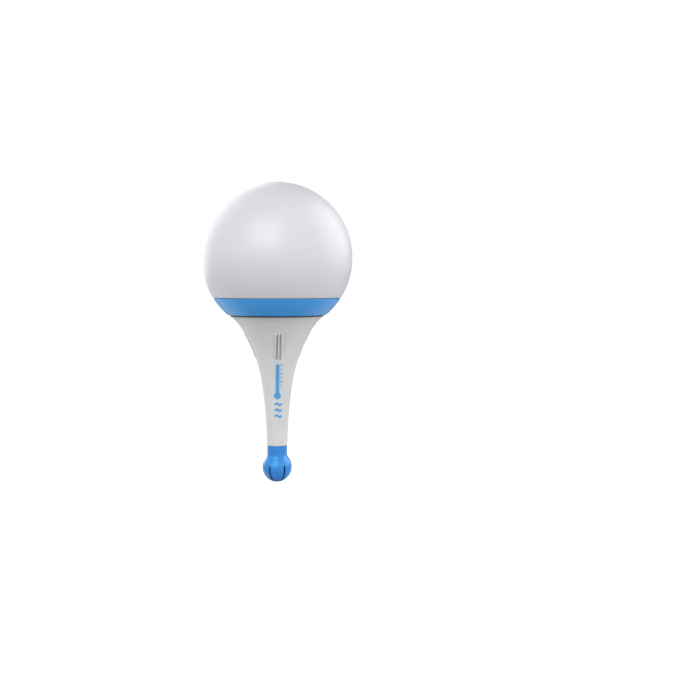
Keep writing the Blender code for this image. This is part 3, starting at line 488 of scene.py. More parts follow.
def metal(name, light, dark, rough, grain, stretch=(1, 1, 1)):
    look = Look(name, rough[0], 1.0)
    look.colour(look.noise(grain * 4, 3.0, stretch), (0.3, dark), (0.7, light))
    fine = look.noise(grain, 3.0, stretch)
    look.rough(fine, *rough)
    look.bump(fine, 0.003)
    return look.material


# Name, light and dark colour, range of roughness, then in mm the grain, its depth and the drift
PLASTICS = {
    "globe": ("satin_globe", (0.66, 0.65, 0.70), (0.64, 0.63, 0.68), (0.40, 0.46), 0.5, 0.0015, 30),
    "band": (
        "satin_band", (0.062, 0.345, 0.83), (0.055, 0.32, 0.78), (0.34, 0.40), 0.45, 0.0015, 20
    ),
    "stem": ("satin_stem", (0.68, 0.685, 0.68), (0.64, 0.645, 0.64), (0.4, 0.48), 0.45, 0.002, 18),
    "tip": ("gloss_tip", (0.046, 0.235, 0.68), (0.038, 0.21, 0.63), (0.34, 0.40), 0.6, 0.001, 9),
    # painted shade: the tip's blue darkened to navy for the bulb's inside skin and slot walls,
    # which are the same plastic as the outside
    "tip_inside": (
        "painted_shade_plastic", (0.012, 0.05, 0.16), (0.009, 0.04, 0.13), (0.5, 0.6), 0.6, 0.001, 9
    ),
    "cup": ("bead_blasted_cup", (0.8, 0.8, 0.78), (0.72, 0.72, 0.7), (0.35, 0.45), 0.2, 0.003, 3),
    "ink": ("printed_blue", (0.085, 0.37, 0.72), (0.075, 0.33, 0.66), (0.3, 0.38), 0.25, 0.003, 3),
    "rubber": (
        "black_rubber", (0.03, 0.03, 0.033), (0.018, 0.018, 0.02), (0.6, 0.75), 0.3, 0.006, 4
    ),
    "ivory": (
        "ivory_plastic", (0.76, 0.74, 0.68), (0.7, 0.68, 0.62), (0.42, 0.52), 0.35, 0.004, 12
    ),
    "black": (
        "black_plastic", (0.03, 0.03, 0.032), (0.02, 0.02, 0.022), (0.42, 0.55), 0.2, 0.006, 3
    ),
    "red": (
        "red_insulation", (0.55, 0.022, 0.018), (0.45, 0.015, 0.013), (0.34, 0.44), 0.4, 0.004, 5
    ),
    "black_wire": (
        "black_insulation", (0.028, 0.028, 0.03), (0.018, 0.018, 0.02), (0.34, 0.44), 0.4, 0.004, 5
    ),
    "grey_wire": (
        "grey_insulation", (0.42, 0.42, 0.42), (0.35, 0.35, 0.35), (0.38, 0.48), 0.4, 0.004, 5
    ),
    "lamp": ("red_lens", (0.75, 0.02, 0.015), (0.6, 0.012, 0.01), (0.06, 0.12), 0.5, 0.001, 2),
    "resin": ("bead_resin", (0.12, 0.04, 0.02), (0.07, 0.025, 0.015), (0.2, 0.3), 0.3, 0.004, 1.5),
    "legend": ("board_legend", (0.78, 0.78, 0.74), (0.66, 0.66, 0.62), (0.5, 0.6), 0.2, 0.004, 2),
    "track": ("masked_track", (0.03, 0.25, 0.10), (0.022, 0.20, 0.08), (0.28, 0.36), 0.2, 0.002, 5),
    "ceramic": ("ceramic_part", (0.30, 0.20, 0.12), (0.22, 0.14, 0.08), (0.4, 0.5), 0.15, 0.004, 1),
    "laminate": ("board_edge", (0.42, 0.38, 0.20), (0.30, 0.27, 0.14), (0.55, 0.7), 0.15, 0.01, 1),
}
GLOSS = {
    "band": {"Specular_IOR_Level": 0.7, "Specular_Tint": (0.45, 0.92, 1.0, 1.0)},
    "tip": {"Specular_IOR_Level": 0.9, "Specular_Tint": (0.25, 0.85, 0.9, 1.0)},
    "lamp": {"Coat_Weight": 1.0, "Coat_Roughness": 0.03},
}
METALS = {
    "steel": ("turned_steel", (0.62, 0.62, 0.63), (0.48, 0.48, 0.50), (0.22, 0.36), 0.5, (1, 1, 8)),
    "nickel": ("plated_nickel", (0.78, 0.76, 0.71), (0.66, 0.64, 0.6), (0.18, 0.3), 0.6, (6, 1, 1)),
    "tin": ("solder_tin", (0.74, 0.74, 0.74), (0.6, 0.6, 0.61), (0.25, 0.4), 0.2),
    "copper": ("bright_copper", (0.80, 0.40, 0.20), (0.64, 0.28, 0.13), (0.2, 0.32), 0.4),
}


def board_look():
    """Green solder mask over a faint glass weave."""
    look = Look("green_mask", 0.3)
    weaves = []
    for axis in ("X", "Z"):
        wave = look.tree.nodes.new("ShaderNodeTexWave")
        wave.bands_direction = axis
        wave.inputs["Scale"].default_value = 700.0
        wave.inputs["Distortion"].default_value = 0.6
        look.link(look.place, wave.inputs["Vector"])
        weaves.append(wave.outputs["Fac"])
    both = look.tree.nodes.new("ShaderNodeMath")
    both.operation = "MULTIPLY"
    look.link(weaves[0], both.inputs[0])
    look.link(weaves[1], both.inputs[1])
    look.colour(look.noise(6, 3.0), (0.3, (0.010, 0.115, 0.045)), (0.7, (0.016, 0.150, 0.060)))
    look.rough(look.noise(1.2), 0.26, 0.36)
    look.bump(both.outputs["Value"], 0.006)
    return look.material


def jacket_look(name, low, high):
    """A cell's printed sleeve: graphite below, copper above, and a pale line between."""
    look = Look(name, 0.28, 0.6)
    parts = look.tree.nodes.new("ShaderNodeSeparateXYZ")
    look.link(look.tree.nodes["Texture Coordinate"].outputs["Generated"], parts.inputs["Vector"])
    ramp = look.colour(
        look.spread(parts.outputs["Z"], low, high, 0.0, 1.0),
        (0.0, (0.030, 0.032, 0.038)),
        (0.70, (0.70, 0.66, 0.58)),
        (0.716, (0.62, 0.28, 0.10)),
        (0.985, (0.50, 0.21, 0.07)),
    )
    ramp.color_ramp.interpolation = "CONSTANT"
    look.rough(look.noise(1.5, 3.0), 0.22, 0.34)
    look.bump(look.noise(4.0, 1.0), 0.01)
    return look.material


LOOKS = {key: plastic(*values, **GLOSS.get(key, {})) for key, values in PLASTICS.items()}
LOOKS.update({key: metal(*values) for key, values in METALS.items()})
LOOKS["board"] = board_look()
LOOKS["jacket"] = jacket_look("cell_sleeve", 0.0, 1.0)
LOOKS["jacket_flipped"] = jacket_look("cell_sleeve_flipped", 1.0, 0.0)


# ---------------------------------------------------------------- outside


def lug(root, tip, z, start, steps=28):
    """One helical thread lug, which tapers off at both ends."""
    rings = []
    for k in range(steps + 1):
        share = k / steps
        ease = min(1.0, 12 * share + 0.25, 12 * (1 - share) + 0.25)
        angle = start + LUG_SWEEP * share
        rise = z + THREAD_LEAD * LUG_SWEEP * share / tau
        reach = root + (tip - root) * ease
        high, low = LUG_ROOT_HEIGHT / 2, LUG_TIP_HEIGHT / 2 * ease
        section = ((root, -high), (reach, -low), (reach, low), (root, high))
        rings.append([(r * cos(angle), r * sin(angle), rise + h) for r, h in section])
    return capped(rings)


def lugs(root, tip, z):
    return [lug(root, tip, z, tau * k / 4) for k in range(4)]


def build_cap():
    """The globe with its skirt, the band with its threaded sleeve, and the washer."""
    outer = arc(SPHERE, SPHERE, SEAM_Z, 84)
    skirt_inner = SKIRT - SKIRT_WALL
    globe = [
        *outer[:-1],
        (*outer[-1], 0.3),
        *arc(SKIRT, SEAM_Z, SKIRT_END_Z, 8)[:-1],
        (slice_radius(SKIRT, SKIRT_END_Z), SKIRT_END_Z, 0.4),
        (slice_radius(skirt_inner, SKIRT_END_Z), SKIRT_END_Z, 0.4),
        *arc(skirt_inner, SKIRT_END_Z, SEAM_Z + 2.0, 8)[1:],
        *arc(SPHERE - GLOBE_WALL, SEAM_Z + 6.0, SPHERE - GLOBE_WALL, 60),
    ]
    piece("globe_shell", turned(globe, 160), "globe", "globe", "cap")

    roof = BAND_BOTTOM_Z + WALL
    top = SEAM_Z - SEAM_GAP
    washer_out = 29.9
    outer = arc(SPHERE, top, BAND_BOTTOM_Z, 18)
    inner = arc(SPHERE - WALL, roof, top, 14)
    band = [
        (*outer[0], 0.25),
        *outer[1:-1],
        (*outer[-1], 0.22),
        (washer_out, BAND_BOTTOM_Z),
        (washer_out, WASHER_ROOF_Z),
        (SLEEVE, WASHER_ROOF_Z),
        (SLEEVE, SPIGOT_TOP_Z, 0.4),
        (SLEEVE + SLEEVE_WALL, SPIGOT_TOP_Z, 0.4),
        (SLEEVE + SLEEVE_WALL, roof),
        *inner[:-1],
        (*inner[-1], 0.2),
    ]
    female = lugs(SLEEVE + 0.6, SLEEVE - 1.2, MALE_LUG_Z - LUG_ROOT_HEIGHT - 0.3)
    piece("band_ring", [turned(band, 160), *female], "band", "blue_band", "cap")

    low, high = cad("sealing_washer")
    washer = turned(rectangle((26.4, low.z), (29.6, high.z), 0.28), 128)
    piece("seal_ring", washer, "rubber", "sealing_washer", "seal")


def stem_radius(z):
    depth = FLANGE_Z - z
    return TUBE + FLARE * exp(-depth / FLARE_LENGTH) + LIP * exp(-depth)


def stem_slope(z):
    depth = FLANGE_Z - z
    return FLARE / FLARE_LENGTH * exp(-depth / FLARE_LENGTH) + LIP * exp(-depth)


def rib_marks():
    """Where the stem's columns stand across a group of ribs, close together on the flanks."""
    return sorted({side * place for side in (-1, 1) for place, _ in RIB_PROFILE})


def rib_lift(mark, z):
    """How far the surface stands out, or is cut in, at a place in a group of ribs."""
    along = max(0.0, z - RIB_TOP_Z + RIB_FADE, RIB_END_Z + RIB_FADE - z)
    fade = sqrt(max(0.0, 1 - (along / RIB_FADE) ** 3))
    level = 0.0
    for (a, low), (b, high) in zip(RIB_PROFILE, RIB_PROFILE[1:]):
        if a <= abs(mark) <= b:
            level = low + (high - low) * (abs(mark) - a) / (b - a)
    return level * fade * hypot(1.0, stem_slope(z))


def stem_heights():
    lip = (0.15, 0.3, 0.5, 0.7, 1.0, 1.4, 1.8, 2.4, 3.0, 4.0, 5.2, 6.4, 7.6, 8.8, 10.0)
    top, end = RIB_TOP_Z - RIB_FADE, RIB_END_Z + RIB_FADE
    heights = [FLANGE_Z - t for t in lip]
    heights += [top + s for s in reversed(RIB_STEPS)]
    heights += [top + (end - top) * k / 9 for k in range(1, 9)]
    heights += [end - s for s in RIB_STEPS]
    last = heights[-1]
    heights += [last + (STEM_END_Z - last) * k / 30 for k in range(1, 30)]
    return heights


def stem_ring(radius, z, ribbed, marks, fill=15):
    """One ring of the stem, with the same columns at every height."""
    reach = max(radius, 7.0)
    edge = asin(marks[-1] / reach)
    ring = []
    for group in range(4):
        turn = tau * (group - 1) / 4
        for mark in marks:
            angle = turn + asin(mark / reach)
            out = radius + (rib_lift(mark, z) if ribbed else 0.0)
            ring.append((out * cos(angle), out * sin(angle), z))
        for k in range(1, fill + 1):
            angle = turn + edge + (pi / 2 - 2 * edge) * k / (fill + 1)
            ring.append((radius * cos(angle), radius * sin(angle), z))
    return ring


def screw_places():
    angles = [radians(a) for a in BOSS_ANGLES]
    return [(BOSS_CIRCLE * cos(a), BOSS_CIRCLE * sin(a)) for a in angles]


def build_stem():
    """The flared shell with its ribs, spigot, lugs and screw bosses, and the printed sign."""
    bore = SPIGOT - WALL
    heights = stem_heights()
    outer = [(stem_radius(z), z) for z in heights]
    inner = []
    for z in heights:
        slope = stem_slope(z)
        normal = hypot(1.0, slope)
        point = (stem_radius(z) - WALL / normal, z + WALL * slope / normal)
        if point[0] < bore - 0.3 and point[1] > HOLLOW_END_Z + 1:
            inner.append(point)
    first, slope = inner[0], stem_slope(inner[0][1])
    outline = [
        (bore, SPIGOT_TOP_Z, 0.4),
        (SPIGOT, SPIGOT_TOP_Z, 0.6),
        (SPIGOT, FLANGE_Z),
        (stem_radius(FLANGE_Z), FLANGE_Z, 0.25),
        *outer,
        (stem_radius(STEM_END_Z), STEM_END_Z, 0.15),
        (NOSE, STEM_END_Z),
        (NOSE, NOSE_END_Z),
        (NOSE_BORE, NOSE_END_Z),
        (NOSE_BORE, NOSE_TOP_Z),
        (stem_radius(HOLLOW_END_Z) - WALL, HOLLOW_END_Z),
        *reversed(inner),
        (bore, first[1] + (bore - first[0]) / slope),
    ]
    ribbed = set(outer)
    marks = rib_marks()
    rings = [stem_ring(r, z, (r, z) in ribbed, marks) for r, z in softened(outline)]
    vertices, faces = skin(rings, closed=True)
    shell = mesh_from(vertices, faces)
    low, high = -48.0, -40.8
    boss = turned([(SCREW_HOLE, low), (2.8, low), (2.8, high, 0.2), (SCREW_HOLE, high)], 32)
    bosses = [copied(boss, x, y) for x, y in screw_places()]
    male = lugs(SPIGOT - 0.6, 25.8, MALE_LUG_Z)
    piece("stem_shell", [shell, *bosses, *male], "stem", "stem_funnel", sharp=50)

    def front(u, v, lift):
        radius = stem_radius(v) + lift
        return (u, -slice_radius(radius, u), v)

    column = -0.35
    marks = [
        stroke([(column, -67.4), (column, -79.0), (column, -85.0)], 2.3, front),
        stroke([(column, -86.2)], 4.4, front, cap=12),
    ]
    for k in range(6):
        z = -67.0 - 2.6 * k
        marks.append(stroke([(1.75, z), (1.8 if k % 2 else 2.15, z)], 0.9, front))
    for z in (-91.6, -95.3, -99.0):
        wave = [(-1.5 + 3.5 * k / 16, z + 0.65 * sin(tau * k / 16)) for k in range(17)]
        marks.append(stroke(wave, 1.25, front))
    piece("water_sign", marks, "ink")


def slot_half_width(radius, z):
    """Half a slot's width where it crosses the bulb at a radius and height: round at both ends."""
    top = SLOT_TOP_Z - SLOT_HALF - z
    end = radius - (SLOT_END + SLOT_HALF) if z < BULB_Z else 1.0
    short = max(0.0, -top, -end)
    return sqrt(max(0.0, SLOT_HALF**2 - short**2))


def build_tip():
    """The bulb as two skins whose columns follow the slots' edges, with walls between them."""
    join_radius = slice_radius(BULB, BULB_JOIN)
    gain = join_radius - NECK
    flare = 2 * gain * join_radius / BULB_JOIN
    top = STEM_END_Z - 0.1
    steps = 10
    neck = [(NECK - 0.12, top), (NECK - 0.03, top - 0.04), (NECK, top - 0.14)]
    neck += [(NECK, top - 1.2 * k) for k in (1, 2, 3)]
    for k in range(steps):
        height = BULB_Z + BULB_JOIN + flare * (1 - k / steps)
        neck.append((NECK + gain * (k / steps) ** 2, height))
    cut_angle = asin((SLOT_TOP_Z - BULB_Z) / BULB)
    end_angle = -acos(SLOT_END / BULB)
    last_angle = asin((TIP_FLAT_Z - BULB_Z) / BULB)
    above = [asin(BULB_JOIN / BULB) * (1 - k / 9) + cut_angle * k / 9 for k in range(9)]
    near = (0.0, 0.004, 0.013, 0.025, 0.037, 0.049)  # close together at a slot's round ends
    slot = [cut_angle - a for a in near]
    slot += [slot[-1] + (end_angle + 0.052 - slot[-1]) * k / 26 for k in range(1, 26)]
    slot += [end_angle + a for a in reversed(near)]
    below = [end_angle + (last_angle - end_angle) * k / 3 for k in (1, 2, 3)]

    def on(radius, angle):
        return (radius * cos(angle), BULB_Z + radius * sin(angle))

    widths = [slot_half_width(*on(BULB, a)) for a in slot]
    outer = neck + [on(BULB, a) for a in above + slot + below]
    outer += [(outer[-1][0] * share, TIP_FLAT_Z) for share in (0.8, 0.45, 0.2)]
    start = asin((TIP_BORE_END_Z - BULB_Z) / BULB_INNER)
    inner = [(TIP_BORE, top), (TIP_BORE, TIP_BORE_END_Z)]
    inner += [on(BULB_INNER, start + (cut_angle - start) * k / 6) for k in range(6)]
    inner += [on(BULB_INNER, a) for a in slot]
    floor_edge = slice_radius(BULB_INNER, TIP_FLOOR_Z - BULB_Z)
    inner += [(floor_edge * share, TIP_FLOOR_Z) for share in (1.0, 0.8, 0.6, 0.45, 0.2)]
    first_slot = (len(neck) + len(above), len(inner) - 5 - len(slot))

    lip = ((0.0, 0.09), (0.05, 0.025), (0.14, 0.0))  # a slot's rounded edge: (aside, depth)
    fill = 14

    def rings_of(outline, first, rounded):
        rings = []
        for k, (radius, z) in enumerate(outline):
            half = widths[k - first] if first <= k < first + len(slot) else 0.0
            edge = asin(min(0.5, (half + lip[-1][0]) / radius))
            points = []
            for slot_number in range(SLOT_COUNT):
                turn = SLOT_TURN + tau * slot_number / SLOT_COUNT
                for side in (-1, 1):
                    for aside, depth in lip[::-1] if side < 0 else lip:
                        r = radius - (depth if rounded and half > 0.05 else 0.0)
                        angle = turn + asin(min(0.6, side * (half + aside) / radius))
                        points.append((r * cos(angle), r * sin(angle), z))
                for j in range(1, fill + 1):
                    angle = turn + edge + (tau / SLOT_COUNT - 2 * edge) * j / (fill + 1)
                    points.append((radius * cos(angle), radius * sin(angle), z))
            rings.append(points)
        return rings

    outer_rings = rings_of(outer, first_slot[0], True)
    inner_rings = rings_of(inner, first_slot[1], False)
    count = len(outer_rings[0])
    seams = {2 + k * (6 + fill) for k in range(SLOT_COUNT)}
    vertices, faces = skin(outer_rings, skipped=seams)
    shift = len(vertices)
    more, inner_faces = skin(inner_rings, skipped=seams)
    vertices += more
    faces += [tuple(v + shift for v in face) for face in inner_faces]
    for column in seams:
        for side in (0, 1):
            for k in range(len(slot) - 1):
                a = (first_slot[0] + k) * count + column + side
                b = shift + (first_slot[1] + k) * count + column + side
                faces.append((a, a + count, b + count, b))
    for k in range(count):
        n = (k + 1) % count
        if k not in seams:
            faces.append((k, n, shift + n, shift + k))
    for end in (shift, len(vertices)):
        faces.append(tuple(range(end - count, end)))
    tip = piece(
        "tip_shell", mesh_from(vertices, faces), ("tip", "tip_inside"), "tip_cage",
        sharp=40,
    )
    # faces inside the bulb and on the slot walls take the darker navy look: painted shade, not a
    # different plastic
    for face in tip.data.polygons:
        x, y, z = (face.center - CENTRE) / MM
        if z - BULB_Z > BULB_JOIN:
            outside = hypot(x, y) > TIP_BORE + 0.3
        else:
            outside = hypot(x, y, z - BULB_Z) > BULB - 0.25 or z < TIP_FLAT_Z + 0.1
        face.material_index = 0 if outside else 1

    cup = [
        (0, -137.5), (4.2, -137.5, 1.5), (4.2, -127.3, 0.15), (3.7, -127.3, 0.1),
        (3.7, -137.0, 1.0), (0, -137.0),
    ]
    piece("sensor_cup", turned(cup, 72), "cup", "probe_cup")


# ---------------------------------------------------------------- inside


def crossed(mesh, bar, angle=0.0):
    """Cuts a bar and its quarter turn from a mesh: one by one, because the two overlap."""
    for turn in (angle, angle + pi / 2):
        mesh = cut(mesh, copied(bar, turn=Matrix.Rotation(turn, 4, "Z")))
    return mesh


def screw_mesh(head, height, shank, length, point=0.0):
    """A pan-head screw, its seat at z 0, with a cross recess and a cut thread."""
    tip = length - (1.2 if point else 0.0)
    pitch = 0.8 if point else 0.5
    outline = [(0, -length), (max(point, 0.05), -length)]
    for k in range(int((tip - 0.4) / pitch)):
        z = -tip + pitch * k
        outline += [(shank * 0.78, z + 0.06), (shank, z + pitch * 0.5)]
    outline += [(shank * 0.8, -0.3), (shank * 0.8, 0), (head, 0, 0.1)]
    outline += [(head, height * 0.55, 0.4), (head * 0.55, height, 0.6), (0, height)]
    reach = head * 0.55
    bar = soft_box((-reach, -0.2, height * 0.4), (reach, 0.2, height + 1), 0)
    return crossed(turned(outline, 40), bar)


def build_holder():
    """The round floor, the open tray with its side walls, and the marks for the cells' poles."""
    low, high = -40.5, -38.5
    half = 12.85  # of the tray's width
    disc = turned([(0, low), (21.4, low, 0.3), (21.4, high, 0.5), (0, high)], 144)
    holes = [moved(rod(3.2, -42, -37, 40), 0, LEADS_Y)]
    holes += [moved(rod(SCREW_HOLE, -42, -37), x, y) for x, y in screw_places()]
    rim = [(20, high - 0.2), (20.9, high - 0.2), (20.9, -37.9, 0.2), (20, -37.9, 0.2)]
    collar = [(3.4, -38.7), (4.3, -38.7), (4.3, -37.7, 0.25), (3.4, -37.7, 0.25)]
    top = soft_box((-half, -9.5, 15.3), (half, 1.7, 16.8), 0.3)
    slots = [soft_box((x - 1.9, -2.9, 14), (x + 1.9, -1.9, 18), 0) for x in (-CELL_X, CELL_X)]
    parts = [
        cut(disc, *holes), turned(rim, 144), moved(turned(collar, 48), 0, LEADS_Y),
        soft_box((-half, 0.3, -39.0), (half, 1.8, 16.8), 0.25),
        cut(top, *slots),
        soft_box((-half, -9.5, -39.0), (half, 1.7, -37.0), 0.25),
    ]
    wall = [  # a side wall, cut back where a finger takes hold of a cell
        (1.7, -38.8), (-9.5, -38.8), (-9.5, -34.5, 0.6), (-5.5, -34.5, 0.6), (-5.5, -19.0, 0.8),
        (-2.1, -19.0, 0.8), (-2.1, -3.0, 0.8), (-5.5, -3.0, 0.8), (-5.5, 12.8, 0.6),
        (-9.5, 12.8, 0.6), (-9.5, 16.6), (1.7, 16.6),
    ]
    to_side = Matrix(((0, 0, 1, 0), (1, 0, 0, 0), (0, 1, 0, 0), (0, 0, 0, 1)))
    side = moved(plate(wall, 0, 1.5, 0.2), turn=to_side)
    ridge = [(-0.7, 0.5), (-0.25, -1.9, 0.15), (0.25, -1.9, 0.15), (0.7, 0.5)]
    foot = moved(plate([(0, -38.7), (4.2, -38.7), (0, -32.0)], 0, 1.2, 0.15), turn=UPRIGHT)
    post = turned([(0.95, 1.5), (2.4, 1.5), (2.4, 4.3, 0.2), (0.95, 4.3)], 40)
    parts += [
        copied(side, -half), copied(side, half - 1.5), plate(ridge, -36.9, 15.2, 0),
        copied(foot, 12.7, -1.6), copied(foot, -12.7, -0.4, turn=Matrix.Rotation(pi, 4, "Z")),
        *[copied(post, x, 0, z, ALONG_Y) for x, z in BOARD_SCREWS],
    ]

    def on_floor(u, v, lift):
        return (u, v - 13.0, high + lift)

    for x, crossing in ((-CELL_X, False), (CELL_X, True)):
        parts.append(stroke([(x - 1.1, 0), (x + 1.1, 0)], 0.7, on_floor, 0.25))
        if crossing:
            parts.append(stroke([(x, -1.1), (x, 1.1)], 0.7, on_floor, 0.25))
    piece("holder_body", parts, "ivory", "battery_holder", sharp=30)

    screw = screw_mesh(2.3, 1.5, 1.15, 6.5, 0.3)
    for k, (x, y) in enumerate(screw_places(), 1):
        made = copied(screw, x, y, -38.2, Matrix.Rotation(0.7 * k, 4, "Z"))
        piece(f"floor_screw_{k}", made, "steel", f"holder_screw_{k}")


def build_cells():
    """Each cell is a steel can in a printed sleeve, whose lips fold over the can's ends."""
    length, radius = 44.3, 5.2
    low, high = -length / 2, length / 2 - 0.9
    can = [
        (0, low + 0.25), (2.9, low + 0.25, 0.3), (3.4, low, 0.15), (4.7, low, 0.35),
        (5.0, low + 0.9), (5.0, high - 0.9), (4.6, high - 0.25, 0.3), (3.2, high - 0.45),
        (2.5, high - 0.35, 0.2), (1.9, high, 0.1), (1.9, length / 2, 0.35), (0, length / 2),
    ]
    sleeve = [
        (4.95, low + 0.5), (4.95, low + 0.12), (4.5, low + 0.06, 0.05), (4.6, low, 0.03),
        (radius, low + 0.1, 0.3), (radius, high - 0.05, 0.35), (4.2, high, 0.05),
        (4.15, high - 0.12, 0.05), (4.95, high - 0.2), (4.95, high - 0.6),
    ]

    def on_sleeve(u, v, lift):
        return (u, -slice_radius(radius + lift, u), v)

    paths = ([(-1.1, 15.6), (1.1, 15.6)], [(0, 14.5), (0, 16.7)], [(-1.1, -17.5), (1.1, -17.5)])
    for k, x, flip, jacket in ((1, -CELL_X, 0.0, "jacket"), (2, CELL_X, pi, "jacket_flipped")):
        body = f"battery_{k}"
        turn = Matrix.Rotation(flip, 4, "Y")
        facing = turn @ Matrix.Rotation(flip, 4, "Z")
        at = (x, CELL_Y, cad(body)[1].z - length / 2)
        made = moved(turned(can, 72), *at, turn)
        piece(f"cell_can_{k}", made, "nickel", body=body)
        made = moved(turned(sleeve, 72), *at, turn)
        piece(f"cell_sleeve_{k}", made, jacket, body, body)
        signs = [moved(stroke(path, 0.6, on_sleeve, 0.02), *at, facing) for path in paths]
        piece(f"cell_signs_{k}", signs, "legend", body=body)


def build_contacts():
    """Sheet contacts with pressed bosses and solder tabs, and two conical springs."""

    def boss(x, start, end):
        rise = end - start
        outline = [(0, start), (3.0, start), (2.7, start + rise * 0.15)]
        outline += [(2.0, start + rise * 0.85), (1.7, end), (0, end)]
        return moved(turned(outline, 40), x, CELL_Y)

    def sheet(low_x, high_x, low, high):
        return soft_box((low_x, -9.1, low), (high_x, -1.2, high), 0.12)

    seat = turned([(3.6, -36.35), (4.1, -36.35), (4.1, -36.1, 0.1), (3.6, -36.1, 0.1)], 48)
    bridge = [
        sheet(-10.2, 10.2, -36.7, -36.3), boss(CELL_X, -36.5, -33.3), moved(seat, -CELL_X, CELL_Y)
    ]
    piece("bridge_plate", bridge, "nickel", "bridge_contact")
    tab = [(-1.4, 14.9), (1.4, 14.9), (1.4, 18.8, 0.5), (-1.4, 18.8, 0.5)]
    for name, x in (("positive", -CELL_X), ("negative", CELL_X)):
        hole = moved(rod(0.45, -1, 1, 20), x, -2.4, 17.6, ALONG_Y)
        tongue = cut(moved(plate(tab, -2.6, -2.2, 0.08), x, turn=UPRIGHT), hole)
        parts = [sheet(x - 4.6, x + 4.6, 14.6, 15.0), tongue]
        if name == "positive":
            parts.append(boss(x, 14.8, 11.6))
        piece(f"{name}_plate", parts, "nickel", f"{name}_contact")
    for name, x, start, end in (("bridge", -CELL_X, -35.7, -33.6), ("negative", CELL_X, 14, 11.9)):
        wire = moved(tube(coil(3.4, 2.04, start, end, 3.5, 0.12), 0.3, 10), x, CELL_Y)
        piece(f"{name}_coil", wire, "nickel", f"{name}_spring")


def gull_lead(x, side, reach):
    """One bent chip lead, from the body's side down to the board."""
    path = [(1.9, 1.0), (2.25, 0.95), (2.45, 0.3), (2.6, 0.08), (reach, 0.08)]
    rings = []
    for k, (along, up) in enumerate(path):
        a, b = path[max(k - 1, 0)], path[min(k + 1, len(path) - 1)]
        slant = Vector((b[0] - a[0], b[1] - a[1])).normalized()
        normal = Vector((-slant.y, slant.x)) * 0.08
        rings.append([
            (x + sx * 0.21, up + normal.y * sn, side * (along + normal.x * sn))
            for sx, sn in ((-1, -1), (1, -1), (1, 1), (-1, 1))
        ])
    return capped(rings)


def build_chip(name, count):
    """A chip in its CAD box, with gull leads on two sides. Returns its centre and their x."""
    low, high = cad(name)
    centre = (low + high) / 2
    half = high - centre
    body = block(centre.x, centre.z, half.x - 0.02, 1.95, low.y + 0.12, high.y, 0.18, 1)
    dimple = moved(rod(0.45, -0.15, 0.5), low.x + 0.95, high.y, centre.z - 1.2, ALONG_Y)
    piece(f"{name}_body", cut(body, dimple), "black", name)
    places = [(k - (count - 1) / 2) * LEAD_PITCH for k in range(count)]
    leads = [gull_lead(x, side, half.z) for x in places for side in (-1, 1)]
    for lead in leads:
        moved(lead, centre.x, low.y, centre.z)
    piece(f"{name}_leads", leads, "tin")
    return centre, [centre.x + x for x in places]


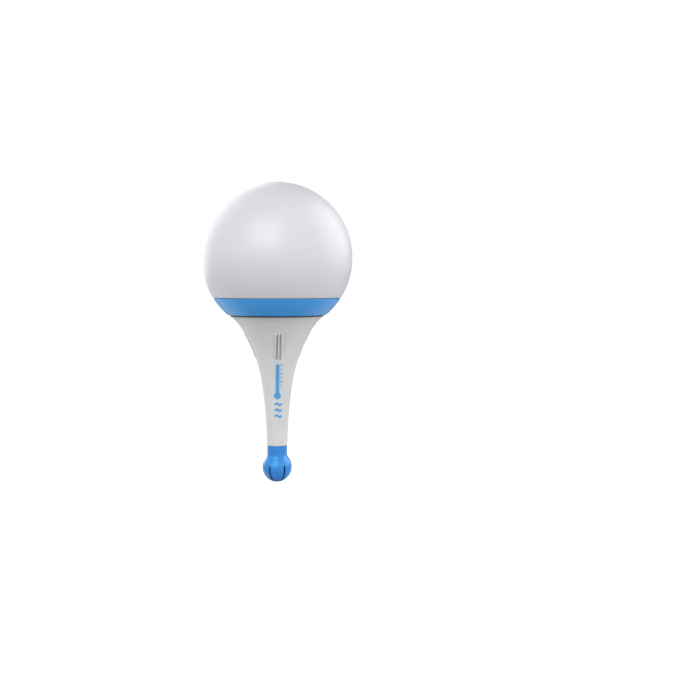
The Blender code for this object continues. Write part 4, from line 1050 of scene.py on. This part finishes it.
def build_board():
    """The board with its chips, tracks, pads, legend and small parts."""
    low, high = cad("circuit_board")
    outline = rectangle((low.x, low.z), (high.x, high.z), 0.9)
    made = moved(plate(outline, low.y, high.y, 0.06), turn=UPRIGHT)
    drills = [moved(rod(1.0, -3, 3), x, 5.4, z, ALONG_Y) for x, z in BOARD_SCREWS]
    looks = ("board", "laminate")
    board = piece("board", cut(made, *drills), looks, "circuit_board")
    for face in board.data.polygons:
        face.material_index = 0 if abs(face.normal.y) > 0.5 else 1

    tracks, pads, legend = [], [], []
    top = high.y

    def on_board(u, v, lift):
        return (u, top + lift, v)

    def track(*points, width=0.32):
        tracks.append(stroke(points, width, on_board, 0.035, 3))

    def pad(x, z, size=0.9, long=0.0):
        ends = [(x, z - long / 2), (x, z + long / 2)] if long else [(x, z)]
        pads.append(stroke(ends, size, on_board, 0.06, 5))

    def mark(*points, width=0.16, proud=0.045, cap=2):
        legend.append(stroke(points, width, on_board, proud, cap))

    control, down = build_chip("control_chip", 7)
    radio, up = build_chip("radio_chip", 4)
    for centre, places in ((control, down), (radio, up)):
        for x in places:
            for side in (-1, 1):
                pad(x, centre.z + side * 2.85, 0.55, 0.6)
    mark((control.x - 5.5, control.z - 2.6), width=0.5, cap=4)
    mark((radio.x - 3.1, radio.z - 2.6), width=0.5, cap=4)

    # from the control chip down to the selector, the button and the socket
    for k, x in enumerate(down):
        end = -4.5 + (k - 3) * 1.7
        track((x, -11.2), (x, -12.2 - 0.25 * abs(k - 3)), (end, -14.4 - 0.1 * k), (end, -16.2))
    # from the control chip up to the crystal and the radio chip, and on to the antenna
    track((-3.27, -4.8), (-3.27, -3.2), (-5.6, -0.9), (-5.6, 0.4))
    track((-2.0, -4.8), (-2.0, -2.4), (-2.4, -1.9), (-2.4, 0.4))
    for k, x in enumerate(up):
        start = control.x + (k + 0.3) * LEAD_PITCH + 0.9
        end = 4.0 + 0.9 * (k - 1.5)
        track((x, 0.9), (x, -0.4 - 0.4 * k), (start, -2.6 - 0.4 * k), (start, -4.8))
        track((x, 7.1), (x, 8.2 + 0.4 * k), (end, 10.0 + 0.4 * k), (end, 13.4))
    # power along both edges, and ground round the foot
    track((-8.2, 14.6), (-10.9, 11.9), (-10.9, -26.0), (-9.0, -28.0), (-3.0, -28.6), width=0.8)
    track((8.2, 14.6), (10.9, 11.9), (10.9, -24.0), (8.4, -26.6), (3.0, -26.8), width=0.8)
    track((-9.0, 4.6), (-9.0, 0.0), (-7.2, -1.8), (-7.2, -6.0))
    track((10.9, -7.0), (9.4, -7.0), width=0.6)
    track((-10.9, -19.0), (-9.9, -19.0), width=0.6)
    for x, z in (  # where tracks pass through the board
        (-10.2, -3.0), (-8.4, -12.6), (3.6, -12.9), (4.6, -2.0), (9.6, -12.8), (0.6, 7.4),
        (-6.6, 9.0), (9.6, 10.6), (-1.0, -24.4), (2.4, -15.6), (-11.2, 14.9), (11.2, -33.6),
        (-10.0, -31.8), (-6.0, 14.8), (0.0, 15.6), (1.4, 3.4),
    ):
        pad(x, z, 0.8)
        mark((x, z), width=0.3, proud=0.075, cap=3)
    for x, z, size in (
        (-8.2, 15.5, 2.2), (8.2, 15.5, 2.2), (4.0, 15.4, 2.2), (-6.4, 2.5, 1.3), (-1.6, 2.5, 1.3),
        *[(x, z, 5.2) for x, z in BOARD_SCREWS],
    ):
        pad(x, z, size)
    for name, margin in (
        ("crystal", 0.5), ("capacitor", 0.35), ("channel_switch", 0.4), ("test_switch", 0.4),
        ("lead_socket", 0.4),
    ):
        a, b = cad(name)
        u, v, w, t = a.x - margin, a.z - margin, b.x + margin, b.z + margin
        corners = [(u, v), (w, v), (w, t), (u, t), (u, v)]
        for start, end in zip(corners, corners[1:]):
            mark(start, end)

    bodies, ends = [], []
    long, wide, end = 0.85, 0.45, 0.28  # half the length and width of a small part, and its end
    for x, z, across in (
        (-6.4, -13.4, 1), (3.0, -5.6, 0), (-9.4, -9.2, 1), (9.6, 0.6, 0), (-0.6, 9.6, 1),
        (2.2, 12.2, 0), (-3.8, 12.4, 1), (2.6, -22.6, 0), (-8.6, -23.8, 1), (10.0, 13.6, 0),
        (-4.2, 8.6, 1), (2.9, -9.2, 0),
    ):
        core, size = (long - end, wide), (end / 2 + 0.03, wide)
        if not across:
            core, size = core[::-1], size[::-1]
        bodies.append(block(x, z, *core, top + 0.04, top + 0.5, 0.04, 1))
        for side in (-1, 1):
            shift = side * (long - end / 2 + 0.01)
            a, b = (shift, 0) if across else (0, shift)
            ends.append(block(x + a, z + b, *size, top, top + 0.53, 0.06, 1))
            pads.append(stroke([(x + a * 1.25, z + b * 1.25)], 0.95, on_board, 0.05, 4))
    piece("board_tracks", tracks, "track")
    piece("board_pads", pads, "tin")
    piece("board_legend", legend, "legend")
    piece("small_parts", bodies, "ceramic")
    piece("small_part_ends", ends, "tin")
    screw = screw_mesh(1.9, 1.2, 0.7, 4.2)
    for k, (x, z) in enumerate(BOARD_SCREWS, 1):
        made = copied(screw, x, 6.5, z, ALONG_Y @ Matrix.Rotation(0.5 * k, 4, "Z"))
        piece(f"fixing_screw_{k}", made, "steel", f"board_screw_{k}")


def build_radio_parts():
    """The crystal, capacitor, lamp and antenna."""
    low, high = cad("crystal")
    parts = []
    for inset, start, end, edge in ((0, low.y, low.y + 0.5, 0.1), (0.3, low.y + 0.4, high.y, 0.35)):
        corners = (low.x + inset, low.z + inset), (high.x - inset, high.z - inset)
        outline = rectangle(*corners, 2.09 - inset)
        parts.append(moved(plate(outline, start, end, edge), turn=UPRIGHT))
    piece("crystal_can", parts, "nickel", "crystal")

    radius = 2.5
    sleeve = [
        (0, 0), (radius, 0, 0.15), (radius, 0.9, 0.15), (2.25, 1.15, 0.15), (radius, 1.4, 0.15),
        (radius, 6.35, 0.3), (2.1, 6.4), (2.1, 6.3), (0, 6.3),
    ]
    made = stood(turned(sleeve, 56), "capacitor")
    piece("capacitor_sleeve", made, "black", "capacitor")
    score = soft_box((-1.9, -0.12, 6.24), (1.9, 0.12, 7.0), 0)
    top = crossed(rod(2.08, 6.0, 6.36, 48), score, 0.6)
    piece("capacitor_top", stood(top, "capacitor"), "steel")

    def on_side(u, v, lift):  # stood() turns this side down, to -Z
        return (u, slice_radius(radius + lift, u), v)

    stripe = stood(stroke([(0, 1.9), (0, 5.7)], 1.1, on_side, 0.02), "capacitor")
    piece("capacitor_stripe", stripe, "legend")

    lamp = [(0, 0), (1.9, 0, 0.1), (1.9, 0.8, 0.15), (1.5, 0.8), *arc(1.5, 1.7, 3.2, 10, 1.7)]
    piece("lamp_lens", stood(turned(lamp, 48), "status_led"), "lamp", "status_led")

    foot = [(2.4, 0, z) for z in (17.3, 17.8, 18.2)]
    route = smooth_route([*foot, *coil(2.4, 2.4, 19.0, 29.0, 6)[1::4]], 5)
    piece("antenna_coil", moved(tube(route, 0.4), 4.0, 5.4), "copper", "antenna")
    joint = turned([(0, 16.6), (1.0, 16.6, 0.1), (0.9, 17.2, 0.2), (0.5, 17.7), (0, 17.7)], 24)
    piece("antenna_joint", moved(joint, 6.4, 5.4), "tin")


def build_switches():
    """The channel switch with its slider, the test switch and the sensor's connector."""
    low, high = cad("channel_switch")
    x, z = (low.x + high.x) / 2, (low.z + high.z) / 2
    parts = [cut(soft_box(low, high, 0.25), block(x, z, 3.5, 1.1, high.y - 2.6, high.y + 1))]
    for side in (-1, 1):
        for a in (low.z + 0.185, high.z - 0.185):
            parts.append(block(x + side * 4.2, a, 0.5, 0.165, low.y - 0.3, low.y + 1.6, 0.08))
    piece("selector_shell", parts, "steel", "channel_switch")
    bed = block(x, z, 3.45, 1.05, high.y - 2.7, high.y - 2.45, 0.05)
    piece("selector_bed", bed, "black")
    low, high = cad("channel_slider")
    half = (high.z - low.z) / 2 - 0.1
    knob = [soft_box(low, (high.x, high.y - 0.35, high.z), 0.15)]
    for share in (0.2, 0.5, 0.8):
        a = low.x + (high.x - low.x) * share
        knob.append(block(a, (low.z + high.z) / 2, 0.2, half, high.y - 0.9, high.y, 0.1))
    piece("selector_knob", knob, "black", "channel_slider", "channel_slider")

    low, high = cad("test_switch")
    base = soft_box(low, (high.x, high.y - 0.45, high.z), 0.2)
    base = cut(base, stood(rod(2.1, 2, 9, 48), "test_switch"))
    piece("switch_base", base, "black", "test_switch")
    lid = plate(rectangle((-2.9, -2.9), (2.9, 2.9), 0.4), 3.05, 3.35, 0.08)
    rivet = turned([(0, 3.3), (0.42, 3.3), (0.36, 3.42), (0.2, 3.49), (0, 3.5)], 20)
    parts = [copied(rivet, a, b) for a in (-2.25, 2.25) for b in (-2.25, 2.25)]
    parts = [stood(part, "test_switch") for part in (cut(lid, rod(2.12, 2, 5, 48)), *parts)]
    piece("switch_lid", parts, "nickel")
    low, high = cad("test_button")
    rise = high.y - low.y
    cap = [(0, 0), (1.7, 0, 0.1), (1.7, rise, 0.25), (1.1, rise, 0.1), (1, rise - 0.12)]
    made = stood(turned([*cap, (0, rise - 0.12)], 48), "test_button")
    piece("switch_button", made, "ivory", "test_button", "test_button")

    low, high = cad("lead_socket")
    mouth = soft_box((-3.1, low.y + 0.9, low.z - 2), (3.1, low.y + 4.7, high.z - 1.5), 0)
    keys = [
        soft_box((x - 0.5, high.y - 1.2, low.z - 1), (x + 0.5, high.y + 1, low.z + 3.2), 0)
        for x in (-1.9, 1.9)
    ]
    shell = cut(cut(soft_box(low, high, 0.2), mouth), *keys)
    piece("socket_shell", shell, "ivory", "lead_socket")
    low, high = cad("lead_plug")
    plug = [
        soft_box(low, high, 0.2),
        soft_box((-1.6, high.y - 0.3, low.z + 0.5), (1.6, high.y + 0.12, low.z + 2.2), 0.1),
    ]
    for z in (0.8, 1.3, 1.8):
        plug.append(block(0, low.z + z + 0.1, 1.4, 0.1, high.y, high.y + 0.2, 0.05))
    piece("plug_body", plug, "ivory", "lead_plug")


def build_wires():
    """The sensor's two leads down the stem, and the red and black wires of the cells."""
    lead = (
        (1.3, LEADS_Y, -35.9), (1.3, LEADS_Y, -42.0), (0.65, 7.0, -53.0), (0.65, 1.5, -68.0),
        (0.65, 0.0, -79.0), (0.65, 0.0, -97.0), (0.65, 0.0, -115.0), (0.65, 0.0, -132.5),
    )
    feed = (
        (CELL_X, -2.4, 19.1), (CELL_X, -1.6, 21.1), (6.5, 2.5, 22.3), (8.2, 7.0, 19.9),
        (8.2, 7.6, 17.4), (8.2, 7.05, 15.5),
    )
    blob = [(0, -0.9), (0.45, -0.75), (0.75, -0.3), (0.75, 0.2), (0.45, 0.6), (0, 0.8)]
    foot = [(0, 0), (1.05, 0), (0.95, 0.25), (0.6, 0.6), (0.35, 0.95), (0, 1.0)]
    joints = []
    for k, side, colour, look in ((1, -1, "red", "red"), (2, 1, "black", "black_wire")):
        route = smooth_route([(side * x, y, z) for x, y, z in lead])
        made = tube(route, 0.45)
        piece(f"lead_wire_{k}", made, "grey_wire", f"sensor_lead_{k}")
        route = smooth_route([(side * x, y, z) for x, y, z in feed], 12)
        made = tube(route[2:-5], 0.55, 14)
        piece(f"{colour}_feed", made, look, f"{colour}_wire")
        joints += [
            tube(route, 0.24, 10), moved(turned(blob, 24), side * CELL_X, -2.4, 18.3),
            moved(turned(foot, 24), side * 8.2, 6.2, 15.5, ALONG_Y),
        ]
    piece("solder_joints", joints, "tin")


def dress_carried_nodes():
    """The pieces no view can show in detail keep their CAD shape and get a full material."""
    for name, look in (
        ("probe_plug", "rubber"), ("thermistor", "resin"), ("ballast_weight", "steel")
    ):
        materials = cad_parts[name].data.materials
        materials.clear()
        materials.append(LOOKS[look])


# ---------------------------------------------------------------- studio

LIGHTS = (  # name, azimuth, elevation, distance, size, power, and whether it is seen in gloss
    ("left_side", -70, 14, 1.5, (1.0, 1.0), 12.7, False),
    ("left_back", -115, 14, 1.5, (1.0, 1.0), 2.0, False),
    ("right_front", 35, 14, 1.5, (1.0, 1.0), 13.2, False),
    ("right_side", 70, 14, 1.5, (1.0, 1.0), 3.4, False),
    ("key_gloss", -19, 31, 0.9, (0.62, 0.72), 5.6, True),
    ("right_gloss", 104, 27, 0.9, (0.7, 0.9), 7.4, True),
    ("left_gloss", -150, 20, 0.9, (0.9, 0.9), 7.5, True),
    ("left_low", -136, -34, 0.6, (0.5, 0.4), 0.5, True),
    ("right_low", 130, -34, 0.6, (0.5, 0.4), 0.35, True),
)
WORLD_STOPS = ((0.2, 0.36), (0.5, 0.36), (0.8, 0.54))  # (height, level), from below to above
BACKDROP = 1.04  # what the camera sees behind everything
FLOOR_DROP = 0.30  # metres
CAMERA_AZIMUTH = radians(-3.3)
CAMERA_DISTANCE = 0.60
CAMERA_DROP = 16.1  # the eye's height below the globe's centre
CAMERA_ASIDE = radians(4.39)  # it looks past the float, which stands left of the middle
CAMERA_LENS = 48.8
CAMERA_SHIFT = -0.0957


def build_lights():
    """Area lights round the float. Azimuth 0 is the front, and 90 is the right."""
    target = CENTRE + Vector((0, 0, -0.04))
    for name, azimuth, elevation, distance, size, power, in_gloss in LIGHTS:
        a, e = radians(azimuth), radians(elevation)
        out = Vector((sin(a) * cos(e), -cos(a) * cos(e), sin(e)))
        data = bpy.data.lights.new(name, "AREA")
        data.shape = "RECTANGLE"
        data.size, data.size_y = size
        data.energy = power
        made = linked(name, data)
        made.visible_diffuse = not in_gloss
        made.visible_glossy = in_gloss
        made.location = target + out * distance
        made.rotation_euler = out.to_track_quat("Z", "Y").to_euler()


def build_world():
    """White to the camera, and a soft grey room, darker below, to everything else."""
    world = bpy.data.worlds.new("studio")
    bpy.context.scene.world = world
    world.use_nodes = True
    tree = world.node_tree
    coords, parts, shift, ramp, path, mix = (
        tree.nodes.new(f"ShaderNode{kind}")
        for kind in ("TexCoord", "SeparateXYZ", "MapRange", "ValToRGB", "LightPath", "Mix")
    )
    shift.inputs["From Min"].default_value = -1.0
    mix.data_type = "RGBA"
    mix.inputs["B"].default_value = (BACKDROP, BACKDROP, BACKDROP, 1.0)
    elements = ramp.color_ramp.elements
    elements.new(0.5)
    for element, (height, level) in zip(elements, WORLD_STOPS):
        element.position = height
        element.color = (level, level, level * 1.01, 1.0)
    for start, end in (
        (coords.outputs["Generated"], parts.inputs["Vector"]),
        (parts.outputs["Z"], shift.inputs["Value"]),
        (shift.outputs["Result"], ramp.inputs["Fac"]),
        (path.outputs["Is Camera Ray"], mix.inputs["Factor"]),
        (ramp.outputs["Color"], mix.inputs["A"]),
        (mix.outputs["Result"], tree.nodes["Background"].inputs["Color"]),
    ):
        tree.links.new(start, end)


def build_floor():
    """A plain white floor, well below the float, which hangs in the air as in water."""
    look = Look("white_floor", 0.9)
    look.colour(look.noise(60), (0.3, (0.93, 0.93, 0.93)), (0.7, (0.95, 0.95, 0.95)))
    look.shader.inputs["Emission Color"].default_value = (1, 1, 1, 1)
    look.shader.inputs["Emission Strength"].default_value = 0.6
    mesh = rod(4.0, -0.02, 0.0, 96)
    mesh.materials.append(look.material)
    floor = linked("floor", mesh)
    floor.location = (0, 0, cad_bounds[0].z - FLOOR_DROP)
    floor.visible_diffuse = False
    floor.visible_glossy = False


def build_camera():
    """Level, above the band and left of the front. The float stands left of the middle."""
    data = bpy.data.cameras.new("camera")
    data.sensor_width = 36.0
    data.lens = CAMERA_LENS
    data.shift_y = CAMERA_SHIFT
    data.clip_end = 50.0
    camera = linked("camera", data)
    a, reach = CAMERA_AZIMUTH, CAMERA_DISTANCE
    camera.location = (sin(a) * reach, -cos(a) * reach, CENTRE.z - CAMERA_DROP * MM)
    camera.rotation_euler = (pi / 2, 0, a - CAMERA_ASIDE)
    bpy.context.scene.camera = camera


for build in (
    build_cap, build_stem, build_tip, build_holder, build_cells, build_contacts, build_board,
    build_radio_parts, build_switches, build_wires, dress_carried_nodes, build_world, build_floor,
    build_lights, build_camera,
):
    build()
bpy.context.scene.view_settings.view_transform = "Standard"
